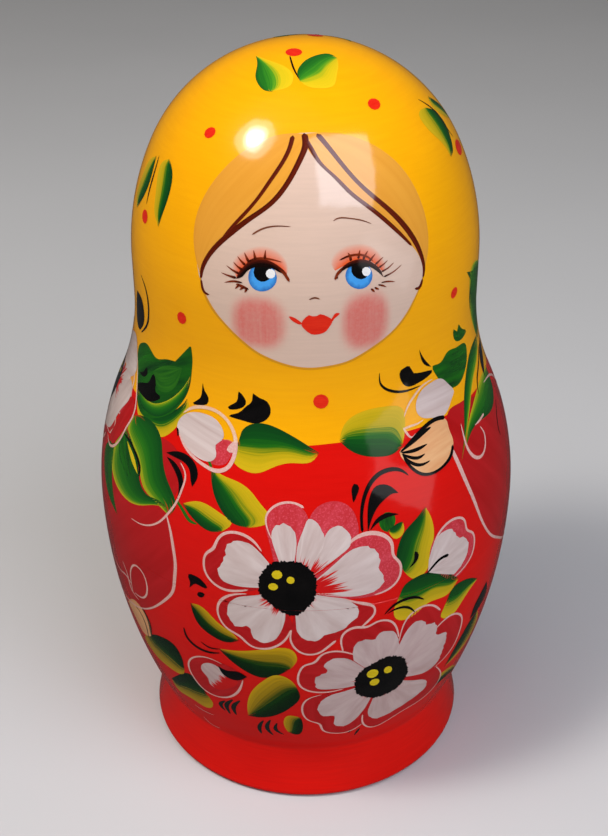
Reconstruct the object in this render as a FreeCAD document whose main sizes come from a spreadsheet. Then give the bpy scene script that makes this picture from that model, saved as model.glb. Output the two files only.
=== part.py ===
"""A turned wooden nesting doll: six hollow dolls, each in two halves, round a small solid one.

Millimetres. The origin is the middle of the underside of the outermost foot, +Z is up and
the face looks along -Y. Every doll has the same outline, brought in step by step, so that
each one stands on the floor of the doll around it and passes through its mouth.
"""
import FreeCAD, Part
import math
import os
import Sketcher

HOLLOW_DOLLS = ["outer", "second", "third", "fourth", "fifth", "sixth"]

SIZES = [
    ("belly_radius", 58.5, "widest part of the body"),
    ("foot_edge", 1.8, "rounding under the foot"),
    ("foot_spread", 1.7, "how far the foot stands out from the crease"),
    ("foot_height", 17.6, "underside to the crease between foot and body"),
    ("body_taper", 13.3, "drop in radius from the belly to the crease"),
    ("body_rise", 64.6, "crease to the widest part"),
    ("shoulder_drop", 13.05, "drop in radius from the belly to the neck"),
    ("shoulder_rise", 60.7, "widest part to the neck"),
    ("neck_length", 10.4, "straight stretch at the neck"),
    ("head_rise", 53.8, "end of the neck to the crown"),
    ("head_turn", 25.0, "degrees that the side of the head turns through before the crown"),
    ("split_drop", 3.8, "how far the split lies under the widest part"),
    ("side_wall", 6.0, "wall of the outermost doll"),
    ("floor_thickness", 12.0, "wood under the cavity"),
    ("floor_corner", 1.2, "rounding where floor and wall meet"),
    ("crown_wall", 10.0, "wood over the cavity"),
    ("tongue_wall", 2.9, "wall of the tongue of the lower half"),
    ("tongue_height", 9.0, "rise of the tongue over the split"),
    ("tongue_fit", 0.08, "radial clearance round the tongue"),
    ("socket_end_gap", 0.6, "air over the tongue of the closed doll"),
    ("belly_gap", 6.6, "air beside the belly of the next doll"),
    ("foot_gap", 1.6, "air round the foot of the next doll"),
    ("headroom", 22.6, "air over the crown of the next doll"),
    ("overrun", 5.0, "how far a cut runs past the wood"),
]

# Share of the slope between belly and neck that bulges; the rest of it is hollow.
BULGE_SHARE = 0.5665

# Sizes of each doll that shrink from doll to doll with its girth, and with its height.
GIRTHS = ["belly_radius", "foot_edge", "foot_spread", "body_taper", "shoulder_drop", "side_wall",
          "floor_corner", "tongue_wall", "foot_gap"]
HEIGHTS = ["foot_height", "body_rise", "shoulder_rise", "neck_length", "head_rise", "split_drop",
           "floor_thickness", "crown_wall", "tongue_height"]

# Sizes worked out from those: the outline of the wood, the joint of the halves and the cavity.
WORKED_OUT = [
    ("foot_radius", ".belly_radius - .body_taper + .foot_spread"),
    ("crease_radius", ".belly_radius - .body_taper"),
    ("neck_radius", ".belly_radius - .shoulder_drop"),
    ("belly_height", ".foot_height + .body_rise"),
    ("neck_height", ".belly_height + .shoulder_rise"),
    ("head_height", ".neck_height + .neck_length"),
    ("crown_height", ".head_height + .head_rise"),
    ("flare_arc", "((.foot_height - .foot_edge) ^ 2 + .foot_spread ^ 2) / (2 * .foot_spread)"),
    ("body_arc", "(.body_rise ^ 2 + .body_taper ^ 2) / (2 * .body_taper)"),
    ("slope_arcs", "(.shoulder_rise ^ 2 + .shoulder_drop ^ 2) / (2 * .shoulder_drop)"),
    ("bulge_arc", f".slope_arcs * {BULGE_SHARE}"),
    ("hollow_arc", f".slope_arcs * (1 - {BULGE_SHARE})"),
    ("slope_radius", f".belly_radius - .shoulder_drop * {BULGE_SHARE}"),
    ("slope_height", f".belly_height + .shoulder_rise * {BULGE_SHARE}"),
    ("split_height", ".belly_height - .split_drop"),
    ("tongue_top", ".split_height + .tongue_height"),
    ("mouth_radius", ".belly_radius - .side_wall"),
    ("tongue_radius", ".mouth_radius + .tongue_wall"),
    ("socket_radius", ".tongue_radius + Sizes.tongue_fit"),
    ("socket_top", ".tongue_top + Sizes.socket_end_gap"),
    ("floor_radius", ".foot_radius * .inward + .foot_gap"),
    ("cup_arc", "((.split_height - .floor_thickness) ^ 2 + (.mouth_radius - .floor_radius) ^ 2)"
                " / (2 * (.mouth_radius - .floor_radius))"),
    ("socket_roof", ".belly_radius - .bulge_arc"
                    " + sqrt((.bulge_arc - .side_wall) ^ 2 - (.socket_top - .belly_height) ^ 2)"),
    ("inner_slope_radius", ".slope_radius - .side_wall * (1 - .shoulder_drop / .slope_arcs)"),
    ("inner_slope_height", ".slope_height - .side_wall * .shoulder_rise / .slope_arcs"),
    ("inner_neck", ".neck_radius - .side_wall"),
    ("roof_height", ".crown_height - .crown_wall"),
    ("reach", ".belly_radius + Sizes.overrun"),
    ("over_crown", ".crown_height + Sizes.overrun"),
]


def fill_sheet(doc):
    """The driving sizes, one row each: name, value and what it measures."""
    sheet = doc.addObject("Spreadsheet::Sheet", "Sizes")
    for row, (alias, value, meaning) in enumerate(SIZES, start=1):
        sheet.set(f"A{row}", alias)
        sheet.set(f"B{row}", str(value))
        sheet.set(f"C{row}", meaning)
        sheet.setAlias(f"B{row}", alias)
    doc.recompute()


def doll_sizes(doc, number):
    """The sizes of one doll, bound to the sheet; number 0 is the outermost."""
    own = doc.addObject("App::VarSet", f"Doll{number}")
    around = f"Doll{number - 1}"

    def bind(size, expression):
        own.addProperty("App::PropertyFloat", size, "Turning", "")
        setattr(own, size, float(own.evalExpression(expression)))
        own.setExpression(size, expression)

    outer_height = ("(Sizes.foot_height + Sizes.body_rise + Sizes.shoulder_rise"
                    " + Sizes.neck_length + Sizes.head_rise)")
    bind("inward", "1 - (Sizes.side_wall + Sizes.belly_gap) / Sizes.belly_radius")
    bind("downward", "1 - (Sizes.floor_thickness + Sizes.crown_wall + Sizes.headroom)"
                     f" / {outer_height}")
    for size in GIRTHS:
        bind(size, f"Sizes.{size} * .inward ^ {number}")
    for size in HEIGHTS:
        bind(size, f"Sizes.{size} * .downward ^ {number}")
    for size, expression in WORKED_OUT:
        bind(size, expression)
    bind("stand_height", f"{around}.stand_height + {around}.floor_thickness" if number else "0")
    for side, radius, rise in (("head", ".neck_radius", ".head_rise"),
                               ("inner_head", ".inner_neck", "(.head_rise - .crown_wall)")):
        bind_head(bind, side, radius, rise)
    doc.recompute()
    return own


def bind_head(bind, side, radius, rise):
    """Two arcs that round off a head: one at its side and one over the crown, tangent to it.

    The side arc starts upright and turns through head_turn, where the crown arc takes over.
    """
    sine = "sin(Sizes.head_turn * 1 deg)"
    cosine = "cos(Sizes.head_turn * 1 deg)"
    spread = f"({sine} + {cosine} - 1)"
    bind(f"{side}_side_arc", f"({rise} * {cosine} - {radius} * (1 - {sine})) / {spread}")
    bind(f"{side}_crown_arc", f"({radius} * {sine} - {rise} * (1 - {cosine})) / {spread}")
    bind(f"{side}_turn_radius", f".{side}_crown_arc * {cosine}")
    bind(f"{side}_turn_height", f".head_height + .{side}_side_arc * {sine}")


def arc_through(first, last, radius, leftward):
    """A sketch arc of the given radius from first to last, turning left or right on the way."""
    middle = (first + last) * 0.5
    along = last - first
    half = along.Length / 2
    sideways = FreeCAD.Vector(-along.y, along.x, 0).normalize()
    if not leftward:
        sideways = -sideways
    centre = middle + sideways * math.sqrt(radius ** 2 - half ** 2)
    start, end = (first, last) if leftward else (last, first)
    angles = [math.atan2(point.y - centre.y, point.x - centre.x) for point in (start, end)]
    circle = Part.Circle(centre, FreeCAD.Vector(0, 0, 1), radius)
    return Part.ArcOfCircle(circle, angles[0], angles[1])


def own_plane(body, role):
    """One of the body's own origin planes."""
    return next(item for item in body.Origin.OriginFeatures if item.Role == role)


def turning_sketch(body, name, own, path):
    """A closed half section to turn about the vertical axis, every size bound.

    The path lists corners as (radius, height, arc): the names of two sizes of the doll, or
    zero, and for an arc that leads on to the next corner its size and the way that it turns.
    """
    sketch = body.newObject("Sketcher::SketchObject", name)
    sketch.AttachmentSupport = [(own_plane(body, "XZ_Plane"), "")]
    sketch.MapMode = "FlatFace"

    def value(size):
        return own.evalExpression(expression(size)) if size else 0.0

    def expression(size):
        return size.replace("@", f"{own.Name}.")

    points = [FreeCAD.Vector(value(radius), value(height), 0) for radius, height, arc in path]
    for index, (radius, height, arc) in enumerate(path):
        first = points[index]
        last = points[(index + 1) % len(points)]
        if arc:
            sketch.addGeometry(arc_through(first, last, value(arc[0]), arc[1] == "left"))
        else:
            sketch.addGeometry(Part.LineSegment(first, last))

    def end_of(index, which):
        arc = path[index][2]
        backwards = arc and arc[1] == "right"
        return (2 if which == "first" else 1) if backwards else (1 if which == "first" else 2)

    def hold(kind, index, size):
        vertex = (index, end_of(index, "first"))
        number = sketch.addConstraint(
            Sketcher.Constraint(kind, -1, 1, *vertex, value(size)))
        sketch.setExpression(f"Constraints[{number}]", expression(size))

    for index, (radius, height, arc) in enumerate(path):
        before = (index - 1) % len(path)
        sketch.addConstraint(Sketcher.Constraint(
            "Coincident", before, end_of(before, "last"), index, end_of(index, "first")))
        for kind, size, axis in (("DistanceX", radius, -2), ("DistanceY", height, -1)):
            if size:
                hold(kind, index, size)
            else:
                sketch.addConstraint(Sketcher.Constraint(
                    "PointOnObject", index, end_of(index, "first"), axis))
        if arc:
            number = sketch.addConstraint(Sketcher.Constraint("Radius", index, value(arc[0])))
            sketch.setExpression(f"Constraints[{number}]", expression(arc[0]))
    sketch.Visibility = False
    return sketch


def outline():
    """The outside of a closed doll, from the middle of its foot round to the crown."""
    return [
        (None, None, None),
        ("@foot_radius - @foot_edge", None, ("@foot_edge", "left")),
        ("@foot_radius", "@foot_edge", ("@flare_arc", "right")),
        ("@crease_radius", "@foot_height", ("@body_arc", "left")),
        ("@belly_radius", "@belly_height", ("@bulge_arc", "left")),
        ("@slope_radius", "@slope_height", ("@hollow_arc", "right")),
        ("@neck_radius", "@neck_height", None),
        ("@neck_radius", "@head_height", ("@head_side_arc", "left")),
        ("@head_turn_radius", "@head_turn_height", ("@head_crown_arc", "left")),
        (None, "@crown_height", None),
    ]


def cup_waste():
    """What is turned away to leave a lower half: its cavity and all above the split."""
    return [
        (None, "@floor_thickness", None),
        ("@floor_radius", "@floor_thickness", ("@cup_arc", "left")),
        ("@mouth_radius", "@split_height", None),
        ("@mouth_radius", "@tongue_top", None),
        ("@tongue_radius", "@tongue_top", None),
        ("@tongue_radius", "@split_height", None),
        ("@reach", "@split_height", None),
        ("@reach", "@over_crown", None),
        (None, "@over_crown", None),
    ]


def cap_waste():
    """What is turned away to leave an upper half: its cavity and all below the split."""
    return [
        (None, "-Sizes.overrun", None),
        ("@reach", "-Sizes.overrun", None),
        ("@reach", "@split_height", None),
        ("@socket_radius", "@split_height", None),
        ("@socket_radius", "@socket_top", None),
        ("@socket_roof", "@socket_top", ("@bulge_arc - @side_wall", "left")),
        ("@inner_slope_radius", "@inner_slope_height", ("@hollow_arc + @side_wall", "right")),
        ("@inner_neck", "@neck_height", None),
        ("@inner_neck", "@head_height", ("@inner_head_side_arc", "left")),
        ("@inner_head_turn_radius", "@inner_head_turn_height", ("@inner_head_crown_arc", "left")),
        (None, "@roof_height", None),
    ]


def turned_body(doc, label, own):
    """A body of its own for one piece of wood, turned to the outline of the closed doll."""
    body = doc.addObject("PartDesign::Body", label)
    body.Label = label
    body.setExpression("Placement.Base.z", f"{own.Name}.stand_height")
    sketch = turning_sketch(body, f"{label}_outline", own, outline())
    blank = body.newObject("PartDesign::Revolution", f"{label}_blank")
    blank.Profile = sketch
    blank.ReferenceAxis = (sketch, ["V_Axis"])
    blank.Angle = 360
    doc.recompute()
    return body, blank


def hollow_out(doc, body, own, blank, waste):
    """Turn the waste away, and make sure that wood went."""
    sketch = turning_sketch(body, f"{body.Label}_waste", own, waste)
    cut = body.newObject("PartDesign::Groove", f"{body.Label}_hollow")
    cut.Profile = sketch
    cut.ReferenceAxis = (sketch, ["V_Axis"])
    cut.Angle = 360
    doc.recompute()
    if not cut.Shape.Volume < blank.Shape.Volume:
        raise RuntimeError(f"{body.Label}: the hollow cut nothing")
    return cut


def round_floor_corner(doc, body, own, cut):
    """Round the edge where the floor of a cup meets its wall."""
    for number, edge in enumerate(cut.Shape.Edges, start=1):
        curve = edge.Curve
        if not isinstance(curve, Part.Circle):
            continue
        level = math.isclose(curve.Center.z, own.floor_thickness, rel_tol=1e-6)
        if level and math.isclose(curve.Radius, own.floor_radius, rel_tol=1e-6):
            corner = body.newObject("PartDesign::Fillet", f"{body.Label}_corner")
            corner.Base = (cut, [f"Edge{number}"])
            corner.setExpression("Radius", f"{own.Name}.floor_corner")
            doc.recompute()
            return
    raise RuntimeError(f"{body.Label}: no edge round the floor")


def lower_half(doc, name, own):
    """A cup on a foot, with a thin tongue standing up inside its rim."""
    body, blank = turned_body(doc, f"{name}_lower_half", own)
    cut = hollow_out(doc, body, own, blank, cup_waste())
    round_floor_corner(doc, body, own, cut)
    return body


def upper_half(doc, name, own):
    """A cap with the shoulders and the head, with a socket for the tongue inside its rim."""
    body, blank = turned_body(doc, f"{name}_upper_half", own)
    hollow_out(doc, body, own, blank, cap_waste())
    return body


def innermost(doc, own):
    """The smallest doll, turned from one piece of wood."""
    return turned_body(doc, "innermost_doll", own)[0]


def check(doc, bodies):
    """Stop before anything is written if an object failed or a shape is missing or broken."""
    for item in doc.Objects:
        if "Invalid" in item.State or "Error" in item.State:
            raise RuntimeError(f"{item.Label}: {item.State}")
    for body in bodies:
        shape = body.Shape
        if shape.isNull() or not shape.isValid() or len(shape.Solids) != 1:
            raise RuntimeError(f"{body.Label}: no single valid solid")


def build():
    """The whole set, and each doll's sizes with it."""
    doc = FreeCAD.newDocument("nesting_doll")
    fill_sheet(doc)
    bodies = []
    dolls = []
    for number, name in enumerate(HOLLOW_DOLLS):
        own = doll_sizes(doc, number)
        dolls.append(own)
        bodies += [lower_half(doc, name, own), upper_half(doc, name, own)]
    dolls.append(doll_sizes(doc, len(HOLLOW_DOLLS)))
    bodies.append(innermost(doc, dolls[-1]))
    doc.recompute()
    check(doc, bodies)
    return doc, bodies, dolls


def main():
    doc, bodies, dolls = build()
    os.makedirs("parts", exist_ok=True)
    for body in bodies:
        body.Shape.exportStep(f"parts/{body.Label}.step")
    for own in dolls:
        print(f"{own.Name}: {own.crown_height:.1f} high, {2 * own.belly_radius:.1f} across,"
              f" stands at {own.stand_height:.1f}")


main()
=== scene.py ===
"""A painted wooden nesting doll: the turned wood of every doll and the strokes of paint on it.

Shapes are worked out in millimetres and made into meshes in metres. A place on a doll's outside
is given by its turn, in degrees from the middle of the face, and its run, the length along the
outline up from the crease over the foot. The strokes are drawn on the outermost doll, and the
dolls inside carry the same design made smaller, without marks that a brush can't make there.
"""
import math
from types import SimpleNamespace

import bpy
import numpy as np
from mathutils import Matrix


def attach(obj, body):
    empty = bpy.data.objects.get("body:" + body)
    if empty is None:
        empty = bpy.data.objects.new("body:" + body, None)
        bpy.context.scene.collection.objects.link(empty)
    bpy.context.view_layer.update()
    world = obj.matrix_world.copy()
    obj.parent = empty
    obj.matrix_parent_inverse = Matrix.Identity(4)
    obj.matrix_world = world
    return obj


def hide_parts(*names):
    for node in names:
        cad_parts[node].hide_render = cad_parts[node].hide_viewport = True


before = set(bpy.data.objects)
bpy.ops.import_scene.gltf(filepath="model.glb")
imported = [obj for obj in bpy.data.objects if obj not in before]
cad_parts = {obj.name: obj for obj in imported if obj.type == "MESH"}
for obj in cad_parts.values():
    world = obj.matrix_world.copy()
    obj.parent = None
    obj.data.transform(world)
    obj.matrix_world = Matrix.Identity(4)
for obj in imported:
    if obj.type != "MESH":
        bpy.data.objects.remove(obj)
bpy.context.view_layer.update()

MM = 0.001
HOLLOW_DOLLS = ["outer", "second", "third", "fourth", "fifth", "sixth"]

# Sizes of the outermost doll that shrink with the girth of the dolls, and with their height
GIRTHS = {"belly": 58.5, "foot_edge": 1.8, "foot_spread": 1.7, "body_taper": 13.3,
          "shoulder_drop": 13.05, "side_wall": 6.0, "floor_corner": 1.2, "tongue_wall": 2.9,
          "foot_gap": 1.6}
HEIGHTS = {"foot": 17.6, "body_rise": 64.6, "shoulder_rise": 60.7, "neck": 10.4, "head_rise": 53.8,
           "split_drop": 3.8, "floor": 12.0, "crown_wall": 10.0, "tongue": 9.0}
BELLY_GAP = 6.6
HEADROOM = 22.6
TONGUE_FIT = 0.08
SOCKET_END_GAP = 0.6
BULGE_SHARE = 0.5665
HEAD_TURN = math.radians(25.0)

# Turned edges: the rounding inside, the bevel at the parting line and the angle that stays sharp
FILLET = 0.25
RIM_BEVEL = 0.05
SHARP_ANGLE = math.radians(32.0)

# Paint: the room left for it inside the outline, how high the layers lie over the wood, how far before the
# parting line it ends, as a share of the bevel, and how the wash on the lids fades, as a power
PAINT_ROOM = 0.14
FIRST_LAYER = 0.018
LAYER = 0.0145
PAINT_END = 0.6
LID_FADE = 0.75

# The scarf's hem: its run, and the height of its waves
HEM_RUN = 107.2
HEM_WAVE = 0.5

# Brushes: half the finest line, the width of one touch in a petal, how far its hairs end before or past
# the rim, how far a heart's bristles reach as a share of its size, and the smallest mark on an inner doll
BRUSH = 0.11
BRUSH_WIDE = 2.1
FRINGE = 0.42
HEART_BRISTLES = 0.048
SMALLEST_MARK = 0.9

# The smaller the doll, the coarser its drawing: the finest line and the cells of a net are divided by its
# girth share to these powers
FINEST_POWER = 0.75
CELL_POWER = 0.55

# The height on the axis from which a stroke is seen when it is put on a doll
DRAWING_CENTRE = 100.0

# The cheeks: the face's radius there, how square their fading edge is, and how fast it fades
CHEEK_RADIUS = 45.0
CHEEK_SQUARENESS = 2.6
CHEEK_FADE = 2.2

# Steps on a cubic before it is read at even lengths, and steps round a heart for its bristles
FINE_STEPS = 400
HEART_STEPS = 128

# The share of a turn between one stroke's shades and the next one's
GOLDEN = 0.6180339


# Outline

def doll_sizes(number):
    """The sizes of one doll; number 0 is the outermost. Girths and heights shrink by a constant share."""
    height = sum(HEIGHTS[part] for part in ("foot", "body_rise", "shoulder_rise", "neck", "head_rise"))
    inward = 1 - (GIRTHS["side_wall"] + BELLY_GAP) / GIRTHS["belly"]
    downward = 1 - (HEIGHTS["floor"] + HEIGHTS["crown_wall"] + HEADROOM) / height
    d = SimpleNamespace(girth_share=inward ** number, height_share=downward ** number)
    for name, value in GIRTHS.items():
        setattr(d, name, value * d.girth_share)
    for name, value in HEIGHTS.items():
        setattr(d, name, value * d.height_share)
    d.crease = d.belly - d.body_taper
    d.foot_radius = d.crease + d.foot_spread
    d.neck_radius = d.belly - d.shoulder_drop
    d.belly_height = d.foot + d.body_rise
    d.neck_height = d.belly_height + d.shoulder_rise
    d.head_height = d.neck_height + d.neck
    d.crown_height = d.head_height + d.head_rise
    d.split = d.belly_height - d.split_drop
    d.slope_arcs = (d.shoulder_rise ** 2 + d.shoulder_drop ** 2) / (2 * d.shoulder_drop)
    d.slope_point = (d.belly - d.shoulder_drop * BULGE_SHARE, d.belly_height + d.shoulder_rise * BULGE_SHARE)
    d.mouth = d.belly - d.side_wall
    d.tongue_radius = d.mouth + d.tongue_wall
    d.tongue_top = d.split + d.tongue
    d.socket = d.tongue_radius + TONGUE_FIT
    d.socket_top = d.tongue_top + SOCKET_END_GAP
    d.floor_radius = d.foot_radius * inward + d.foot_gap
    d.roof = d.crown_height - d.crown_wall
    d.stand = sum(HEIGHTS["floor"] * downward ** outside for outside in range(number))
    return d


def arc(first, last, radius, left, cells):
    """Points from first to last on the circle of that radius through both, turning left or right."""
    first, last = np.array(first, float), np.array(last, float)
    along = last - first
    chord = np.hypot(*along)
    sideways = np.array([-along[1], along[0]]) / chord * (1 if left else -1)
    centre = (first + last) / 2 + sideways * math.sqrt(radius ** 2 - chord ** 2 / 4)
    start, end = (math.atan2(*(point - centre)[::-1]) for point in (first, last))
    sweep = (end - start + math.pi) % (2 * math.pi) - math.pi
    angles = start + sweep * np.linspace(0, 1, cells + 1)
    return centre + radius * np.stack([np.cos(angles), np.sin(angles)], axis=1)


def dome(radius, height, rise, cells):
    """The rounding of a head: an arc at its side that turns by HEAD_TURN, and one over the crown."""
    sine, cosine = math.sin(HEAD_TURN), math.cos(HEAD_TURN)
    side = (rise * cosine - radius * (1 - sine)) / (sine + cosine - 1)
    crown = (radius * sine - rise * (1 - cosine)) / (sine + cosine - 1)
    turn = (crown * cosine, height + side * sine)
    return [arc((radius, height), turn, side, True, cells), arc(turn, (0, height + rise), crown, True, cells)]


def joined(parts):
    """Lines of points put end to end, without the points that two of them share."""
    return np.concatenate([parts[0]] + [part[1:] for part in parts[1:]])


def outside(d, room):
    """The outline of the wood under the paint, from the edge of the foot to the crown."""
    foot, crease, belly, neck = (r - room for r in (d.foot_radius, d.crease, d.belly, d.neck_radius))
    slope = (d.slope_point[0] - room, d.slope_point[1])
    flare = ((d.foot - d.foot_edge) ** 2 + d.foot_spread ** 2) / (2 * d.foot_spread)
    body = (d.body_rise ** 2 + d.body_taper ** 2) / (2 * d.body_taper)
    parts = [
        arc((foot - d.foot_edge, 0), (foot, d.foot_edge), d.foot_edge, True, 24),
        arc((foot, d.foot_edge), (crease, d.foot), flare, False, 60),
        arc((crease, d.foot), (belly, d.belly_height), body, True, 240),
        arc((belly, d.belly_height), slope, d.slope_arcs * BULGE_SHARE, True, 160),
        arc(slope, (neck, d.neck_height), d.slope_arcs * (1 - BULGE_SHARE), False, 120),
        np.array([(neck, d.neck_height), (neck, d.head_height)]),
    ]
    return joined(parts + dome(neck, d.head_height, d.head_rise - room, 200))


class Outline:
    """The outside of a doll as a line of points, read by the run up from the crease over its foot."""

    def __init__(self, d):
        points = outside(d, PAINT_ROOM * d.girth_share)
        self.radius, self.height = points.T
        steps = np.hypot(np.diff(self.radius), np.diff(self.height))
        run = np.concatenate([[0], np.cumsum(steps)])
        self.run = run - np.interp(d.foot, self.height, run)
        self.centre = DRAWING_CENTRE * d.height_share
        self.aim = np.arctan2(self.height - self.centre, self.radius)
        self.split_run = self.run_at(d.split)
        slope = np.arctan2(np.gradient(self.radius, run), np.gradient(self.height, run))
        self.out, self.up = np.cos(slope), -np.sin(slope)

    def run_at(self, height):
        """The run of a height."""
        return np.interp(height, self.height, self.run)

    def at(self, run):
        """Radius and height at a run."""
        return np.interp(run, self.run, self.radius), np.interp(run, self.run, self.height)

    def by_run(self, turn, run, lift):
        """Points and normals at a turn and a run, lifted along the normal."""
        radius, height = self.at(run)
        out, up = np.interp(run, self.run, self.out), np.interp(run, self.run, self.up)
        radius = radius + out * lift
        placed = np.stack([radius * np.sin(turn), -radius * np.cos(turn), height + up * lift], axis=-1)
        return placed, np.stack([out * np.sin(turn), -out * np.cos(turn), up], axis=-1)

    def settle(self, points, lift):
        """Points put on the outside, seen from the middle of the doll, and lifted along its normal."""
        across = np.hypot(points[..., 0], points[..., 1])
        turn = np.arctan2(points[..., 0], -points[..., 1])
        run = np.interp(np.arctan2(points[..., 2] - self.centre, across), self.aim, self.run)
        placed, normals = self.by_run(turn, run, lift)
        return placed, normals, np.degrees(turn), run

    def place(self, spots):
        """Points in space from rows of turn and run."""
        spots = np.asarray(spots, float)
        turn = np.radians(spots[:, 0])
        radius, height = self.at(spots[:, 1])
        return np.stack([radius * np.sin(turn), -radius * np.cos(turn), height], axis=1)


# Turned wood

def make_piece(name, points, quads, triangles, paints, materials):
    """A mesh object from arrays in millimetres; paints numbers the material of each face."""
    mesh = bpy.data.meshes.new(name)
    mesh.from_pydata((points * MM).tolist(), [], quads.tolist() + triangles.tolist())
    for material in materials:
        mesh.materials.append(material)
    mesh.polygons.foreach_set("material_index", np.asarray(paints, dtype=np.int32))
    mesh.polygons.foreach_set("use_smooth", np.ones(len(mesh.polygons), dtype=bool))
    piece = bpy.data.objects.new(name, mesh)
    bpy.context.scene.collection.objects.link(piece)
    return piece


def turned_piece(name, bands, around, materials, stand):
    """Wood turned about the axis: every row of a band is its radii swept round at its heights.

    A band is (radii, heights, material number). Its arrays have one row for each point of the
    profile, with one value or one for every turn. Bands join end to end, the profile runs from
    pole to pole, and its first and last points lie on the axis.
    """
    turns = np.arange(around) * 2 * math.pi / around
    radii, heights, kinds = [], [], []
    for index, (radius, height, kind) in enumerate(bands):
        keep = slice(0 if index == 0 else 1, None)
        radius, height = (np.asarray(values, float) for values in (radius, height))
        full = [np.broadcast_to(values if values.ndim == 2 else values[:, None], (len(values), around))[keep]
                for values in (radius, height)]
        radii.append(full[0])
        heights.append(full[1])
        kinds += [kind] * (len(radius) - 1)
    radii, heights, kinds = np.concatenate(radii), np.concatenate(heights), np.array(kinds)
    rings = np.stack([radii * np.sin(turns), -radii * np.cos(turns), heights + stand], axis=-1)
    rows = len(rings) - 2
    points = np.concatenate([rings[1:-1].reshape(-1, 3), rings[0, :1], rings[-1, :1]])
    here = np.arange(around)
    beside = (here + 1) % around
    lower = np.arange(rows - 1)[:, None] * around
    quads = np.stack([lower + here, lower + beside, lower + around + beside, lower + around + here],
                     axis=-1).reshape(-1, 4)
    first, last = rows * around, rows * around + 1
    top = (rows - 1) * around
    triangles = np.concatenate([
        np.stack([np.full(around, first), beside, here], axis=1),
        np.stack([top + here, top + beside, np.full(around, last)], axis=1)])
    paints = np.concatenate([np.repeat(kinds[1:-1], around), np.repeat(kinds[[0, -1]], around)])
    piece = make_piece(name, points, quads, triangles, paints, materials)
    piece.data.set_sharp_from_angle(angle=SHARP_ANGLE)
    return piece


def between_runs(line, start, end, cells):
    """Radii and heights of the outline at even steps between two runs, which may differ round the doll."""
    share = np.linspace(0, 1, cells + 1)
    if np.ndim(start) or np.ndim(end):
        share = share[:, None]
    return line.at(start + (end - start) * share)


def flat(first, last, height, cells=3):
    """Radii and heights of a level stretch of a profile, in even steps."""
    return np.linspace(first, last, cells + 1), np.full(cells + 1, height)


def hem_run(turn):
    """The run of the scarf's hem, which waves a little: a constant and two sines of the turn."""
    turn = np.radians(turn)
    return HEM_RUN + HEM_WAVE * (np.sin(3 * turn + 0.7) + 0.6 * np.sin(7 * turn))


def foot_bands(d, line, step, edge_cells, foot_paint, bare):
    """Bands of the underside, of the foot's rounded edge and of its side up to the crease."""
    edge_end = line.run_at(d.foot_edge)
    return [
        (*flat(0, line.radius[0], 0.0, 6), bare),
        (*between_runs(line, line.run[0], edge_end, edge_cells), foot_paint),
        (*between_runs(line, edge_end, 0, math.ceil(d.foot / step)), foot_paint),
    ]


def body_bands(d, line, start, around, step, body_paint, scarf_paint):
    """Bands of the outside from a run up to the hem, and from the hem to the crown."""
    hem = hem_run(np.arange(around) * 360.0 / around) * d.height_share
    middle, crown = HEM_RUN * d.height_share, line.run[-1]
    return [
        (*between_runs(line, start, hem, math.ceil((middle - start) / step)), body_paint),
        (*between_runs(line, hem, crown, math.ceil((crown - middle) / step)), scarf_paint),
    ]


def lower_wood(name, d, line, around, step, materials):
    """A cup on a foot: underside, foot, body, lip, tongue, wall and floor, in that order."""
    foot_paint, body_paint, bare = 0, 1, 2
    lip = line.run_at(d.split - RIM_BEVEL)
    radius_at_lip = float(line.at(line.run_at(d.split))[0])
    corner = arc((d.floor_radius - d.floor_corner, d.floor), (d.floor_radius, d.floor + d.floor_corner),
                 d.floor_corner, True, 5)[::-1]
    drop, spread = d.split - d.floor, d.mouth - d.floor_radius
    cup = arc((d.floor_radius, d.floor), (d.mouth, d.split), (drop ** 2 + spread ** 2) / (2 * spread), True, 22)[::-1]
    cup = cup[cup[:, 1] > d.floor + d.floor_corner]
    wall = np.concatenate([cup, corner])
    fillet = FILLET * d.girth_share
    bands = foot_bands(d, line, step, 6, foot_paint, bare) + [
        (*between_runs(line, 0, lip, math.ceil(lip / step)), body_paint),
        ([line.at(lip)[0], radius_at_lip - RIM_BEVEL], [d.split - RIM_BEVEL, d.split], body_paint),
        (*flat(radius_at_lip - RIM_BEVEL, d.tongue_radius, d.split), bare),
        ([d.tongue_radius, d.tongue_radius, d.tongue_radius - fillet],
         [d.split, d.tongue_top - fillet, d.tongue_top], bare),
        ([d.tongue_radius - fillet, d.mouth + fillet, d.mouth, d.mouth],
         [d.tongue_top, d.tongue_top, d.tongue_top - fillet, d.split], bare),
        (wall[:, 0], wall[:, 1], bare),
        (*flat(d.floor_radius - d.floor_corner, 0, d.floor, 8), bare),
    ]
    return turned_piece(name, bands, around, materials, d.stand)


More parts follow.
